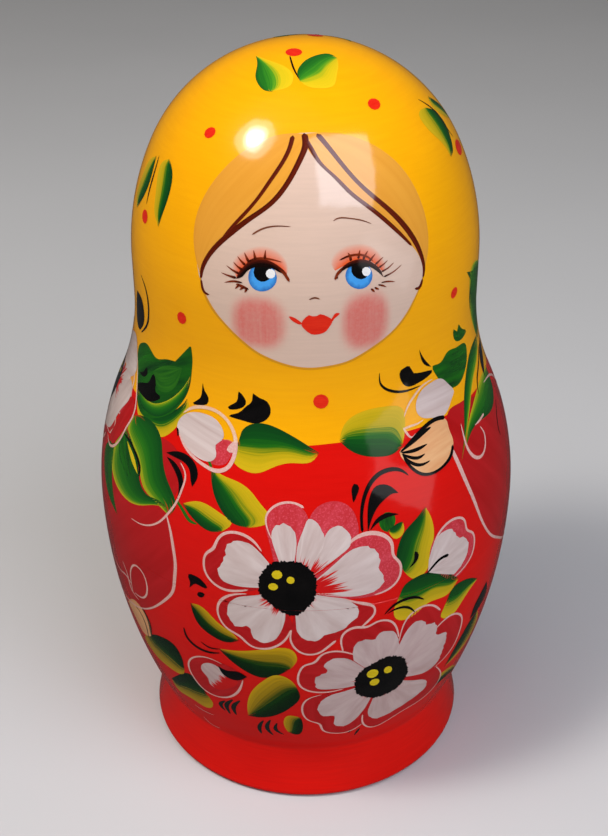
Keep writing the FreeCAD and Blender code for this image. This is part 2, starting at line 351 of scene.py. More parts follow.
def upper_wood(name, d, line, around, step, materials):
    """A cap: roof, inner wall, socket and rim, then the body up to the hem, and the scarf."""
    body_paint, scarf_paint, bare = 0, 1, 2
    lip = line.run_at(d.split + RIM_BEVEL)
    radius_at_lip = float(line.at(line.run_at(d.split))[0])
    bulge, hollow = d.slope_arcs * BULGE_SHARE, d.slope_arcs * (1 - BULGE_SHARE)
    lean = d.side_wall * (1 - d.shoulder_drop / d.slope_arcs)
    slope = (d.slope_point[0] - lean, d.slope_point[1] - d.side_wall * d.shoulder_rise / d.slope_arcs)
    reach = math.sqrt((bulge - d.side_wall) ** 2 - (d.socket_top - d.belly_height) ** 2)
    socket_roof = (d.belly - bulge + reach, d.socket_top)
    neck = d.neck_radius - d.side_wall
    inner = joined([
        arc(socket_roof, slope, bulge - d.side_wall, True, 12),
        arc(slope, (neck, d.neck_height), hollow + d.side_wall, False, 12),
        np.array([(neck, d.neck_height), (neck, d.head_height)]),
    ] + dome(neck, d.head_height, d.head_rise - d.crown_wall, 16))[::-1]
    fillet = FILLET * d.girth_share
    bands = [
        (inner[:, 0], inner[:, 1], bare),
        ([socket_roof[0], d.socket], [d.socket_top, d.socket_top], bare),
        ([d.socket, d.socket, d.socket + fillet], [d.socket_top, d.split + fillet, d.split], bare),
        (*flat(d.socket + fillet, radius_at_lip - RIM_BEVEL, d.split), bare),
        ([radius_at_lip - RIM_BEVEL, line.at(lip)[0]], [d.split, d.split + RIM_BEVEL], body_paint),
    ] + body_bands(d, line, lip, around, step, body_paint, scarf_paint)
    return turned_piece(name, bands, around, materials, d.stand)


def solid_wood(name, d, line, around, step, materials):
    """The smallest doll, in one piece: underside, foot, body up to the hem, and the scarf."""
    foot_paint, body_paint, scarf_paint, bare = 0, 1, 2, 3
    bands = (foot_bands(d, line, step, 5, foot_paint, bare)
             + body_bands(d, line, 0, around, step, body_paint, scarf_paint))
    return turned_piece(name, bands, around, materials, d.stand)


# Paint strokes

def spline(points, count, closed=False):
    """Even steps on the cubic through the points, with chord length as its parameter.

    The second derivatives at the points come from the usual linear system, with free ends or,
    for a closed line, from the same points repeated before and after.
    """
    points = np.asarray(points, float)
    if closed:
        extra = min(4, len(points))
        points = np.concatenate([points[-extra:], points, points[:extra + 1]])
    steps = np.linalg.norm(np.diff(points, axis=0), axis=1)
    steps = np.maximum(steps, 1e-6)
    knots = np.concatenate([[0], np.cumsum(steps)])
    size = len(points)
    system = np.zeros((size, size))
    inside = np.arange(1, size - 1)
    system[inside, inside - 1] = steps[:-1]
    system[inside, inside] = 2 * (steps[:-1] + steps[1:])
    system[inside, inside + 1] = steps[1:]
    system[0, 0] = system[-1, -1] = 1
    slopes = np.diff(points, axis=0) / steps[:, None]
    right = np.zeros_like(points)
    right[1:-1] = 6 * np.diff(slopes, axis=0)
    bends = np.linalg.solve(system, right)
    first, last = (knots[extra], knots[-extra - 1]) if closed else (knots[0], knots[-1])
    fine = np.linspace(first, last, FINE_STEPS)
    curve = spline_at(fine, knots, steps, points, bends)
    length = np.concatenate([[0], np.cumsum(np.linalg.norm(np.diff(curve, axis=0), axis=1))])
    wanted = np.linspace(0, length[-1], count + 1)
    wanted = wanted[:-1] if closed else wanted
    return spline_at(np.interp(wanted, length, fine), knots, steps, points, bends)


def spline_at(places, knots, steps, points, bends):
    """Points of the cubic at parameter places."""
    cell = np.clip(np.searchsorted(knots, places, side="right") - 1, 0, len(steps) - 1)
    wide = steps[cell][:, None]
    after = (knots[cell + 1] - places)[:, None] / wide
    before = 1 - after
    return (after * points[cell] + before * points[cell + 1]
            + ((after ** 3 - after) * bends[cell] + (before ** 3 - before) * bends[cell + 1]) * wide ** 2 / 6)


def line_length(points):
    """Length of a line of points."""
    return float(np.linalg.norm(np.diff(points, axis=0), axis=1).sum())


def net_faces(index):
    """Faces of a net of point numbers; a cell whose corners fall together becomes a triangle."""
    cells = np.stack([index[:-1, :-1], index[:-1, 1:], index[1:, 1:], index[1:, :-1]], axis=-1).reshape(-1, 4)
    start = cells[:, 0] == cells[:, 1]
    end = cells[:, 2] == cells[:, 3]
    whole = cells[~start & ~end]
    threes = np.concatenate([cells[start & ~end][:, [0, 2, 3]], cells[end & ~start][:, [0, 1, 2]]])
    return whole, threes


def net(points, along, across):
    """A net whose first and last rows may be one point each."""
    rows, columns = points.shape[:2]
    index = np.arange(rows * columns).reshape(rows, columns)
    for row in (0, -1):
        if np.ptp(points[row], axis=0).max() < 1e-6:
            index[row] = index[row, 0]
    quads, threes = net_faces(index)
    along, across = np.broadcast_to(along, (rows, columns)), np.broadcast_to(across, (rows, columns))
    return points.reshape(-1, 3), quads, threes, along.ravel(), across.ravel()


def leaf_net(outline, first, second, cell):
    """A stroke between two edges: straight steps from one to the other. The second lacks its ends, the first's."""
    first = outline.place(first)
    second = np.concatenate([first[:1], outline.place(second), first[-1:]])
    count = max(5, math.ceil(max(line_length(first), line_length(second)) / cell))
    first, second = spline(first, count), spline(second, count)
    wide = np.linalg.norm(first - second, axis=1).max()
    across = np.linspace(0, 1, max(2, math.ceil(wide / cell)) + 1)
    points = first[:, None] * (1 - across)[:, None] + second[:, None] * across[:, None]
    along = np.linspace(0, 1, count + 1)[:, None]
    return net(points, along, across)


def fan_net(outline, base, rim, cell):
    """A petal that opens from its base: straight steps from the base to each point of its rim.

    The rim is fringed by the touches of the brush: one hump of a rectified sine for each touch and a
    weaker, faster sine, both fading out toward the petal's sides.
    """
    base, rim = outline.place(base)[0], outline.place(rim)
    rim = spline(rim, max(6, math.ceil(line_length(rim) / cell)))
    deep = np.linalg.norm(rim - base, axis=1).max()
    along = np.linspace(0, 1, max(3, math.ceil(deep / cell)) + 1)[:, None]
    across = np.linspace(0, 1, rim.shape[0])
    brushes = max(2, round(line_length(rim) / BRUSH_WIDE))
    fringe = np.abs(np.sin(math.pi * across * brushes)) - 0.6 + 0.35 * np.sin(across * brushes * 9.7 + deep)
    out = 1 + FRINGE * fringe * np.sin(math.pi * across) ** 0.5 / deep
    points = base + (rim - base) * out[:, None] * along[..., None]
    return net(points, along, across)


def fill_net(outline, edge, cell, bristles):
    """A closed patch: straight steps from its middle to each point of its edge.

    Bristles push the edge out and in by three sines of the step's number and by every other step.
    """
    edge = outline.place(edge)
    round_edge = max(10, math.ceil(line_length(np.concatenate([edge, edge[:1]])) / cell))
    if bristles:
        round_edge = max(HEART_STEPS, round_edge)
    edge = spline(edge, round_edge, closed=True)
    middle = edge.mean(axis=0)
    if bristles:
        turn = np.arange(round_edge)
        jag = 1 + bristles * (np.sin(turn * 2.4) * 0.45 + np.sin(turn * 1.13 + 1) * 0.35 + np.sin(turn * 0.37) * 0.3
                              + (turn % 2) * 0.5 - 0.3)
        edge = middle + (edge - middle) * jag[:, None]
    deep = np.linalg.norm(edge - middle, axis=1).max()
    along = np.linspace(0, 1, max(2, math.ceil(deep / cell)) + 1)[:, None]
    ring = np.concatenate([edge, edge[:1]])
    points = middle + (ring - middle) * along[..., None]
    rows, columns = points.shape[:2]
    index = np.arange(rows * columns).reshape(rows, columns)
    index[:, -1] = index[:, 0]
    index[0] = 0
    quads, threes = net_faces(index)
    across = np.broadcast_to(np.linspace(0, 1, columns), (rows, columns))
    return points.reshape(-1, 3), quads, threes, np.broadcast_to(along, (rows, columns)).ravel(), across.ravel()


def line_net(outline, spots, cell, finest):
    """A drawn line: a ribbon about a cubic through its spots, whose ends are rounded off."""
    spots = np.asarray(spots, float)
    middle = outline.place(spots)
    count = max(8, math.ceil(line_length(middle) / (cell * 0.6)))
    with_width = spline(np.concatenate([middle, spots[:, 2:]], axis=1), count)
    middle, half = with_width[:, :3], np.maximum(with_width[:, 3], finest)
    forward = np.gradient(middle, axis=0)
    forward /= np.linalg.norm(forward, axis=1)[:, None]
    outward = middle * [1, 1, 0]
    outward /= np.linalg.norm(outward, axis=1)[:, None]
    sideways = np.cross(outward, forward)
    sideways /= np.linalg.norm(sideways, axis=1)[:, None]
    travel = np.concatenate([[0], np.cumsum(np.linalg.norm(np.diff(middle, axis=0), axis=1))])
    for gone, blunt in ((travel, half[0]), (travel[-1] - travel, half[-1])):
        near = np.clip(1 - gone / max(blunt, 1e-6), 0, 1)
        half = half * np.sqrt(1 - near ** 2)
    across = np.linspace(-1, 1, 5)
    points = middle[:, None] + sideways[:, None] * (half[:, None] * across)[..., None]
    return net(points, np.linspace(0, 1, count + 1)[:, None], (across + 1) / 2)


def stroke_net(outline, stroke, cell, finest):
    """The net of one stroke from the tables, on the outermost doll."""
    kind = stroke[0]
    if kind == "leaf":
        return leaf_net(outline, stroke[3], stroke[4], cell)
    if kind == "fan":
        return fan_net(outline, stroke[3], stroke[4], cell)
    if kind == "line":
        return line_net(outline, stroke[3], cell, finest)
    return fill_net(outline, stroke[3], cell, HEART_BRISTLES if kind == "heart" else 0.0)


def brush_way(points):
    """Places along and across a patch, over its length: its principal axes, from some hundreds of its points."""
    apart = points - points.mean(axis=0)
    axes = np.linalg.svd(apart[:: max(1, len(apart) // 400)], full_matrices=False)[2]
    along, across = apart @ axes[0], apart @ axes[1]
    length = max(np.ptp(along), 1e-6)
    return (along - along.min()) / length, (across - across.min()) / length


def shifted(strokes, turn=0.0, run=0.0, about=None, share=1.0, mirror=None):
    """The same strokes at another place: mirrored in a turn, resized about a spot, turned and raised."""
    def spots(values):
        values = np.array(values, float)
        if mirror is not None:
            values[:, 0] = 2 * mirror - values[:, 0]
        if about is not None:
            values[:, 0] = about[0] + (values[:, 0] - about[0]) * share
            values[:, 1] = about[1] + (values[:, 1] - about[1]) * share
        values[:, 0] += turn
        values[:, 1] += run
        return values
    return [stroke[:3] + tuple(spots(values) for values in stroke[3:]) for stroke in strokes]


def wrap_turn(turn):
    """A turn between -180 and 180 degrees."""
    return (turn + 180) % 360 - 180


def laid_strokes(d, drawing, line, strokes, cell, side):
    """The strokes that one piece carries, as nets settled on its outside, each layer a little higher.

    side says which half the piece is: below or above the split, or None for the smallest doll. A stroke
    that crosses the split ends there, and a mark that a brush can't make on this doll is left out.
    """
    scale = np.array([d.girth_share, d.girth_share, d.height_share])
    finest = BRUSH / d.girth_share ** FINEST_POWER
    cell = cell / d.girth_share ** CELL_POWER
    smallest = SMALLEST_MARK if d.girth_share < 1 else 0
    laid = []
    for order, stroke in enumerate(strokes):
        points, quads, threes, along, across = stroke_net(drawing, stroke, cell, finest)
        if np.ptp(points, axis=0).max() * d.girth_share < smallest:
            continue
        lift = FIRST_LAYER + LAYER * stroke[2]
        _, _, turn, run = drawing.settle(points, 0)
        placed, normals, _, own_run = line.settle(points * scale, lift)
        if side is not None:
            split_run = line.split_run + RIM_BEVEL * PAINT_END * (1 if side == "above" else -1)
            past = own_run < split_run if side == "above" else own_run > split_run
            if past.all():
                continue
            if past.any():
                placed, normals = line.by_run(np.radians(turn), np.where(past, split_run, own_run), lift)
                quads, threes = quads[~past[quads].all(axis=1)], threes[~past[threes].all(axis=1)]
        paint = stroke[1]
        if stroke[0] == "fill" and paint not in ("blue", "face"):
            along, across = brush_way(points)
            # A filled patch of petal white is solid, as a fan is toward its rim
            along = 0.7 + 0.3 * along if paint == "petal" else along
        laid.append(SimpleNamespace(
            paint="face" if paint == "lid_wash" else paint, points=placed, normals=normals, quads=quads,
            threes=threes, turn=turn, run=run, along=along, across=across, ground=(run < hem_run(turn)) * 1.0,
            hue=np.full(len(points), (order * GOLDEN) % 1),
            lid=(1 - across) ** LID_FADE if paint == "lid_wash" else np.zeros(len(points))))
    return laid


def paint_piece(name, d, drawing, line, strokes, cell, paints, side, body):
    """One painted layer of a doll: its strokes in one mesh, with the values that the paints read from it."""
    laid = laid_strokes(d, drawing, line, strokes, cell, side)

    def all_of(field):
        return np.concatenate([getattr(item, field) for item in laid])

    numbers = {paint: number for number, paint in enumerate(dict.fromkeys(item.paint for item in laid))}
    starts = np.cumsum([0] + [len(item.points) for item in laid[:-1]])
    nets, kinds = [], []
    for faces in ("quads", "threes"):
        nets.append(np.concatenate([getattr(item, faces) + start for item, start in zip(laid, starts)]))
        kinds += [np.full(len(getattr(item, faces)), numbers[item.paint]) for item in laid]
    used, back = np.unique(np.concatenate([faces.ravel() for faces in nets]), return_inverse=True)
    quads, threes = back[:nets[0].size].reshape(-1, 4), back[nets[0].size:].reshape(-1, 3)
    points = all_of("points")[used] + [0, 0, d.stand]
    normals = all_of("normals")[used]
    quads, threes = face_outward(points, normals, quads), face_outward(points, normals, threes)
    materials = [paints[paint] for paint in numbers]
    piece = make_piece(name, points, quads, threes, np.concatenate(kinds), materials)
    values = {title: all_of(title)[used] for title in ("along", "across", "hue", "ground")}
    if name.endswith("face"):
        values["blush"] = soft_spots(all_of("turn")[used], all_of("run")[used], CHEEKS)
        values["lid"] = all_of("lid")[used]
    for title, shares in values.items():
        piece.data.attributes.new(title, "FLOAT", "POINT").data.foreach_set("value", shares.astype(np.float32))
    piece.data.normals_split_custom_set_from_vertices(normals.tolist())
    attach(piece, body)


def face_outward(points, normals, faces):
    """Faces wound so that they look the way the wood's own normals do."""
    if not len(faces):
        return faces
    one, two, three = (points[faces[:, corner]] for corner in range(3))
    facing = np.cross(two - one, three - one)
    inward = (facing * normals[faces[:, 0]]).sum(axis=1) < 0
    return np.where(inward[:, None], faces[:, ::-1], faces)


def soft_spots(turn, run, spots):
    """A mask that is 1 at each spot and fades out at its reach, round as a worn cushion is."""
    mask = np.zeros(len(turn))
    for spot_turn, spot_run, wide, high in spots:
        sideways = np.abs(np.radians(wrap_turn(turn - spot_turn)) * CHEEK_RADIUS / wide)
        upward = np.abs(run - spot_run) / high
        away = (sideways ** CHEEK_SQUARENESS + upward ** CHEEK_SQUARENESS) ** (1 / CHEEK_SQUARENESS)
        mask = np.maximum(mask, np.clip(CHEEK_FADE * (1 - away), 0, 1))
    return mask * mask * (3 - 2 * mask)


# Strokes: kind, paint, layer and one line of points, or two for a leaf's edges or a petal's base and rim.
# Places are (turn, run); a line's third number is half its width in millimetres. A leaf's second edge
# starts and ends where the first does, and its row leaves those two places out.

def alike(kind, paint, layer, drawings):
    """Strokes of one kind in one paint on one layer."""
    return [(kind, paint, layer) + (drawing if isinstance(drawing, tuple) else (drawing,)) for drawing in drawings]


CROWN_SPRIG = [
    ("fill", "red_dot", 3, [(-4.6, 210.4), (-6.5, 209.2), (-12.2, 208.4), (-19.5, 208.2), (-27.2, 208.6),
     (-33.6, 209.5), (-36.2, 210.7), (-31.9, 211.8), (-20.3, 212.2), (-9, 211.6)]),
    ("line", "black", 3, [(-21.5, 208.2, 0.35), (-8.9, 202.3, 0.35), (-3.9, 199.2, 0.12)]),
    ("leaf", "crown_leaf", 2, [(-64.8, 204.7), (-46.2, 201.9), (-38.6, 198.7), (-31.4, 196.3), (-24.7, 194.9),
     (-20.7, 194.8)], [(-43.4, 204.9), (-21.3, 203.8), (-9.2, 200.5), (-9.8, 197.1)]),
    ("leaf", "crown_leaf", 2, [(-3.8, 198.8), (-6.3, 201.2), (-4.7, 204.2), (4.1, 207.2), (19.8, 208.7),
     (38.2, 208.3), (41.4, 206)], [(2.1, 196.9), (9.6, 196.2), (18.4, 196.5), (24.6, 199.5), (33.2, 203.1)]),
]

SCARF_DOTS = [
    *alike("fill", "red_dot", 3, [
        [(40.1, 188.5), (35.7, 188.2), (34.2, 188.9), (34, 189.8), (35.3, 190.7), (40.2, 191), (41.7, 190.3),
         (41.6, 189.4)],
        [(-42, 182.6), (-40.7, 182.1), (-40.3, 181.2), (-42.6, 179.8), (-45.6, 180.4), (-46, 181.3)],
        [(-39.5, 134.8), (-42.4, 133.4), (-43.3, 134.1), (-43.5, 135.1), (-41.7, 136.7), (-40.5, 136.6)],
        [(55.4, 137.5), (53.2, 136.7), (51.8, 138), (53, 139.7), (55.3, 139.3), (55.7, 138.4)],
        [(6.9, 118.6), (5.2, 116.9), (2.6, 117.7), (2.2, 118.8), (2.7, 119.9), (5.3, 120.5)],
    ]),
]

LEFT_SPRIG = [
    ("leaf", "leaf", 2, [(-69, 170), (-67.4, 166.2), (-67.5, 162), (-70.4, 158), (-73.9, 154.9)], [(-74.5, 167.5),
     (-77.2, 162), (-77.7, 157.3)]),
    ("line", "black", 3, [(-66.8, 170.8, 0.08), (-65.7, 166.6, 0.32), (-65.4, 162, 0.3), (-65.1, 158.5, 0.1)]),
    ("leaf", "leaf", 2, [(-58.6, 171.6), (-54, 169.3), (-52.5, 161.9), (-53.6, 158.2), (-54.4, 155.5)],
     [(-62.9, 169.6), (-62.1, 165.9), (-60.1, 162.1), (-58.3, 158.3)]),
    ("fill", "red_dot", 3, [(-62.3, 156), (-62.2, 155), (-62.9, 154.1), (-66.7, 154.8), (-66.9, 155.9),
     (-64.8, 157.2)]),
]

RIGHT_SPRIG = [
    ("leaf", "leaf", 2, [(81.9, 184.4), (87.2, 181.5), (91.5, 177.8), (90.5, 175.1)], [(76.9, 182.1), (79.9, 179.2)]),
    ("line", "black", 3, [(69, 186.2, 0.1), (73.9, 182.8, 0.35), (76.2, 179.2, 0.38), (75.9, 176, 0.3),
     (77.6, 172.8, 0.08)]),
    ("leaf", "leaf", 2, [(69.5, 183.4), (76.4, 180.1), (76.9, 176.7), (74.1, 173.6), (70.8, 171.2), (66.1, 170.1)],
     [(59.9, 182.7), (59.7, 179.6), (62.5, 176.3), (65.3, 173)]),
    ("fill", "red_dot", 3, [(82.6, 168.9), (80.2, 168.2), (75.2, 168.5), (74.1, 169.5), (74.5, 170.6), (76.2, 171.5),
     (81.7, 171.1), (83.2, 170)]),
]

LEFT_CURL = [
    ("line", "black", 3, [(-65.1, 140, 0.1), (-62.1, 137.7, 0.3), (-60.4, 130.8, 0.4), (-62.6, 126.7, 0.38),
     (-68, 122.7, 0.15)]),
    ("leaf", "black", 3, [(-71.1, 133.2), (-66, 132.5), (-65.3, 126.5), (-69.8, 122.7)], [(-73.9, 128.7),
     (-74.5, 125.1), (-72.9, 123.1)]),
]

HEM_DROPS = [
    *alike("fill", "black", 3, [
        [(-33.3, 119.7), (-32.6, 118), (-31.1, 116.7), (-30.8, 115.2), (-34.4, 113.6), (-36.6, 113.4), (-34.9, 114.6),
         (-33.4, 118.1)],
        [(-20.7, 119.9), (-19.2, 118.9), (-18.2, 117.5), (-21.3, 115.1), (-24.2, 115), (-22.7, 116.2), (-21, 117.6)],
        [(-16.1, 120), (-14.5, 119.2), (-12, 118.5), (-10.6, 116.7), (-10.8, 114.7), (-15.1, 112.3), (-18.2, 112.5),
         (-23.6, 113.2), (-20.6, 114.3), (-18.1, 116.4), (-16.3, 118.2)],
    ]),
]

HEM_CURLS = [
    ("leaf", "black", 3, [(37.7, 127.5), (40.4, 122.4), (42.8, 121.4)], [(39.4, 124.9)]),
    ("fill", "black", 3, [(30.5, 123.5), (32, 123.9), (33.8, 124.1), (33.9, 123.2), (37.4, 121.2), (43.4, 120),
     (40.6, 119.1), (36.8, 118.6), (32.9, 118.6), (30.8, 120.3)]),
    ("line", "black", 3, [(23.1, 124.4, 0.05), (23.3, 121.5, 0.25), (29.2, 118.1, 0.38), (37.9, 117.7, 0.1)]),
]

RIGHT_GREENS = [
    ("fill", "green", 2, [(54.7, 128), (56.8, 126.1), (58, 128.3), (59.6, 126.9), (64.3, 124.1), (61.2, 123.3),
     (57.8, 123.6), (54.9, 125.6)]),
    ("fill", "green", 2, [(43.5, 121.4), (46.8, 121.1), (50.7, 122.8), (56, 122.4), (63.4, 120.7), (63.5, 117.3),
     (60.3, 114.2), (56, 112.5), (47.9, 114.4), (45.4, 117.6)]),
]

FACE_OVAL = [
    ("fill", "face", 1, [(-1.3, 184.2), (-15.3, 182.2), (-34.7, 168.2), (-36.7, 164.3), (-36.9, 156), (-35.5, 152.1),
     (-31.3, 143), (-28.2, 139.9), (-18.8, 133.2), (-13.8, 130.7), (-8.9, 129.2), (-3.8, 128.1), (6.4, 127.9),
     (15.9, 129.6), (20.1, 131.2), (28.7, 135.6), (33.9, 140.6), (37.4, 145.3), (39.8, 150.2), (41.4, 154.6),
     (41.1, 164.7), (38.3, 170.5), (33.4, 176.2), (26.6, 180.1)]),
]

HAIR = [
    ("leaf", "hair", 2, [(0.2, 184), (-8.05, 183.9), (-31.85, 172.6), (-37.65, 160.4), (-37.15, 156), (-33.6, 148.1)],
     [(-0.4, 180.2), (-3.6, 175.3), (-11.3, 167.8), (-17.6, 163.9), (-32, 151.8), (-33, 149.9)]),
    ("leaf", "hair", 2, [(0.2, 184), (10.25, 184.1), (27.05, 180.3), (33.75, 176.4), (41.45, 164.8), (40.15, 150.3),
     (38.8, 148)], [(1.2, 180.2), (5.5, 177.1), (10.2, 173.7), (21.2, 165.9), (25.6, 162.9), (34.2, 155.7),
     (37.2, 152.3)]),
]

LOCKS = [
    *alike("line", "brown", 3, [
        [(-0.4, 184.2, 0.74), (0.2, 181.4, 0.78), (-1.2, 178.8, 0.74), (-11.6, 167.5, 0.74), (-17.9, 163.8, 0.78),
         (-24.1, 159.7, 0.78), (-32, 152, 0.59), (-33.1, 149.4, 0.48), (-33.3, 147.4, 0.3)],
        [(-5.1, 183.6, 0.54), (-6, 180.8, 0.54), (-12.3, 172.7, 0.54), (-15.9, 168.6, 0.48), (-24, 161, 0.44),
         (-26.7, 158.3, 0.2)],
        [(0, 182.8, 0.68), (2, 180.9, 0.63), (5.5, 177.1, 0.54), (10.3, 173.8, 0.54), (15.3, 169.9, 0.59),
         (21.6, 165.8, 0.63), (30.3, 159.2, 0.54), (34.9, 155, 0.3)],
        [(5.1, 184, 0.89), (9.2, 180.7, 0.74), (18.6, 171.9, 0.63), (29.8, 163.3, 0.78), (34.1, 158.9, 0.78),
         (38.5, 151.3, 0.54), (38.9, 148.4, 0.39), (38.3, 146.3, 0.24)],
        [(-33.2, 147.4, 0.24), (-31.4, 144.1, 0.34), (-30, 144, 0.24)],
        [(38.2, 146.4, 0.24), (36.4, 144.2, 0.44), (35, 144.5, 0.3)],
    ]),
    ("line", "edge", 2, [(-33.8, 148, 0.14), (-32.4, 144.8, 0.3), (-24.2, 136.4, 0.3), (-14, 130.5, 0.3),
     (-9, 129, 0.3), (1.3, 127.4, 0.3), (6.5, 127.7, 0.3), (11.4, 128.3, 0.3), (20.3, 131.1, 0.3), (29, 135.4, 0.3),
     (34.1, 140.5, 0.3), (37.4, 144.7, 0.14)]),
]

EYES = [
    ("fill", "blue", 3, [(-8.5, 150.8), (-9.3, 148.7), (-14.2, 147.1), (-16.4, 148.1), (-17.3, 150.1), (-16.6, 152.2),
     (-11.6, 153.8)]),
    ("fill", "black", 4, [(-10, 151.8), (-10.5, 150.5), (-13.7, 149.5), (-15.7, 151.4), (-13.8, 153.7),
     (-10.6, 153.1)]),
    ("fill", "white", 5, [(-9.2, 150.9), (-9.9, 150.5), (-10.8, 150.4), (-11.9, 151.4), (-10.9, 152.6),
     (-9.3, 152.3)]),
    ("fill", "blue", 3, [(20.5, 150.1), (19.6, 148.3), (17.4, 147.3), (12.8, 148.9), (12, 150.9), (12.9, 152.7),
     (17.7, 153.5)]),
    ("fill", "black", 4, [(19.6, 151.5), (17.5, 149.6), (13.8, 152.1), (14.4, 153.3), (15.9, 153.9), (17.7, 153.8)]),
    ("fill", "white", 5, [(20, 151.2), (19, 150.2), (17.4, 150.8), (17.5, 152.1), (18.2, 152.4), (19.8, 151.8)]),
    ("leaf", "lid_wash", 2, [(-21, 149.8), (-18.6, 152.5), (-7.5, 152.9), (-5.6, 151.5)], [(-22.6, 151.6),
     (-22.3, 153.8), (-19.7, 156), (-11.7, 157.9), (-5.8, 154.9), (-5.2, 153)]),
    ("leaf", "lid_wash", 2, [(9, 152.3), (19.6, 153.8), (24, 150.5)], [(7.6, 153.8), (8.5, 156), (15.4, 158.2),
     (19.6, 157.6), (24.6, 153.3), (25, 151.4)]),
    ("leaf", "lid_line", 6, [(-21.1, 149.4), (-20.5, 150.9), (-19.2, 152.3), (-17.4, 153.8), (-10.2, 154.4),
     (-7.7, 153.3), (-5.7, 151.9), (-4.8, 150.1)], [(-19.3, 150), (-17.8, 151.5), (-12.7, 153), (-9.9, 152.8),
     (-7.7, 152), (-6.2, 151.4), (-5.6, 150.7)]),
    ("leaf", "lid_line", 6, [(8.9, 150.3), (9.1, 151.3), (10.5, 152.6), (12.4, 153.7), (18.6, 154.1), (21, 153),
     (23, 151.4), (24, 149.3)], [(11.6, 152.3), (15.7, 153), (18.5, 152.7)]),
    *alike("line", "lash", 7, [
        [(-8.6, 153.1, 0.1), (-6.5, 151.9, 0.36), (-4.7, 149.8, 0.32)],
        [(11.8, 153.1, 0.1), (10, 151.9, 0.34), (8.8, 150, 0.26)],
        [(-17.9, 153.6, 0.2), (-15.9, 154.5, 0.34), (-12.6, 155, 0.34), (-6.9, 154.4, 0.08)],
        [(-20.9, 149.6, 0.42), (-23.6, 149.8, 0.26), (-26.2, 150.2, 0.06)],
        [(-20.1, 150.7, 0.42), (-22.4, 151.3, 0.26), (-24.6, 152.2, 0.06)],
        [(-19.1, 151.7, 0.42), (-20.7, 152.3, 0.26), (-22.3, 153.3, 0.06)],
        [(-18.3, 152.9, 0.42), (-19.8, 153.8, 0.26), (-21.1, 154.8, 0.06)],
        [(-17.3, 153.8, 0.42), (-18.1, 154.8, 0.26), (-18.9, 155.9, 0.06)],
        [(-15.2, 154.4, 0.42), (-15.6, 155.6, 0.24), (-16, 156.7, 0.06)],
        [(-12.3, 154.8, 0.42), (-12.3, 155.8, 0.24), (-12.2, 157, 0.06)],
        [(-19, 148.6, 0.2), (-21.6, 148.7, 0.3), (-25, 147.9, 0.06)],
        [(-17, 147.2, 0.2), (-19, 147.7, 0.42), (-21.2, 148.1, 0.3)],
        [(-20, 148.1, 0.3), (-20.7, 147.5, 0.26), (-21.4, 146.9, 0.06)],
        [(-18.6, 147.6, 0.3), (-19.3, 147.2, 0.26), (-20, 146.8, 0.06)],
        [(-17.6, 147.2, 0.3), (-18, 146.8, 0.26), (-18.3, 146.3, 0.06)],
        [(10.2, 154.6, 0.16), (12.5, 155.3, 0.3), (18.8, 154.9, 0.28), (21, 153.5, 0.12)],
        [(9.8, 150.7, 0.3), (9.1, 150.6, 0.3), (9.6, 151.1, 0.2)],
        [(13.8, 154.2, 0.34), (13.7, 155.3, 0.26), (13, 156.3, 0.06)],
        [(16.2, 154.5, 0.34), (16.5, 155.5, 0.24), (16.9, 156.6, 0.06)],
        [(17.7, 154.2, 0.34), (18.5, 155.2, 0.24), (19.5, 156.2, 0.06)],
        [(19.6, 153.5, 0.34), (20.7, 154.4, 0.24), (21.9, 155.2, 0.06)],
        [(21.5, 152.6, 0.34), (23, 153.4, 0.22), (24.4, 154.1, 0.06)],
        [(22.5, 151.7, 0.32), (24.4, 152.4, 0.2), (25.8, 153.1, 0.06)],
        [(23.2, 150.6, 0.3), (25.9, 151.3, 0.2), (27.9, 152.3, 0.06)],
        [(24, 149.3, 0.3), (27.3, 150, 0.2), (30.6, 151.3, 0.06)],
        [(23.1, 148, 0.12), (25.4, 148, 0.24), (28, 147.5, 0.06)],
        [(22.1, 147.7, 0.12), (23.5, 147.3, 0.24), (25, 146.7, 0.06)],
        [(21, 147.2, 0.14), (21.7, 146.8, 0.28), (22.5, 146.5, 0.08)],
        [(19.8, 147, 0.14), (20.4, 146.6, 0.3), (21, 146, 0.08)],
    ]),
]

BROWS_AND_NOSE = [
    *alike("line", "brow", 6, [
        [(-16.9, 160.1, 0.22), (-13.7, 161.7, 0.26), (-4.5, 162.6, 0.12)],
        [(8.8, 163.7, 0.08), (10.2, 164.2, 0.22), (13.8, 164.1, 0.22), (17.7, 163.4, 0.2), (21.6, 162.1, 0.08)],
        [(1, 145.5, 0.12), (2.9, 146, 0.22), (4.3, 145.6, 0.12)],
    ]),
]

LIPS = [
    ("fill", "lips", 5, [(-1.3, 139.5), (-0.2, 140.9), (1.3, 141.7), (2.6, 141.2), (4, 141.8), (6, 141.4), (8, 140),
     (7.2, 138.5), (5.9, 137), (4, 136.4), (1.9, 136.4), (0.1, 137.5)]),
    ("line", "lips", 5, [(-4.9, 141.3, 0.15), (-4, 140.8, 0.42), (-1.1, 139.3, 0.3)]),
    ("line", "lips", 5, [(7.5, 139.8, 0.35), (8.3, 140.7, 0.3), (9.2, 141.5, 0.45), (10.2, 141.7, 0.15)]),
]

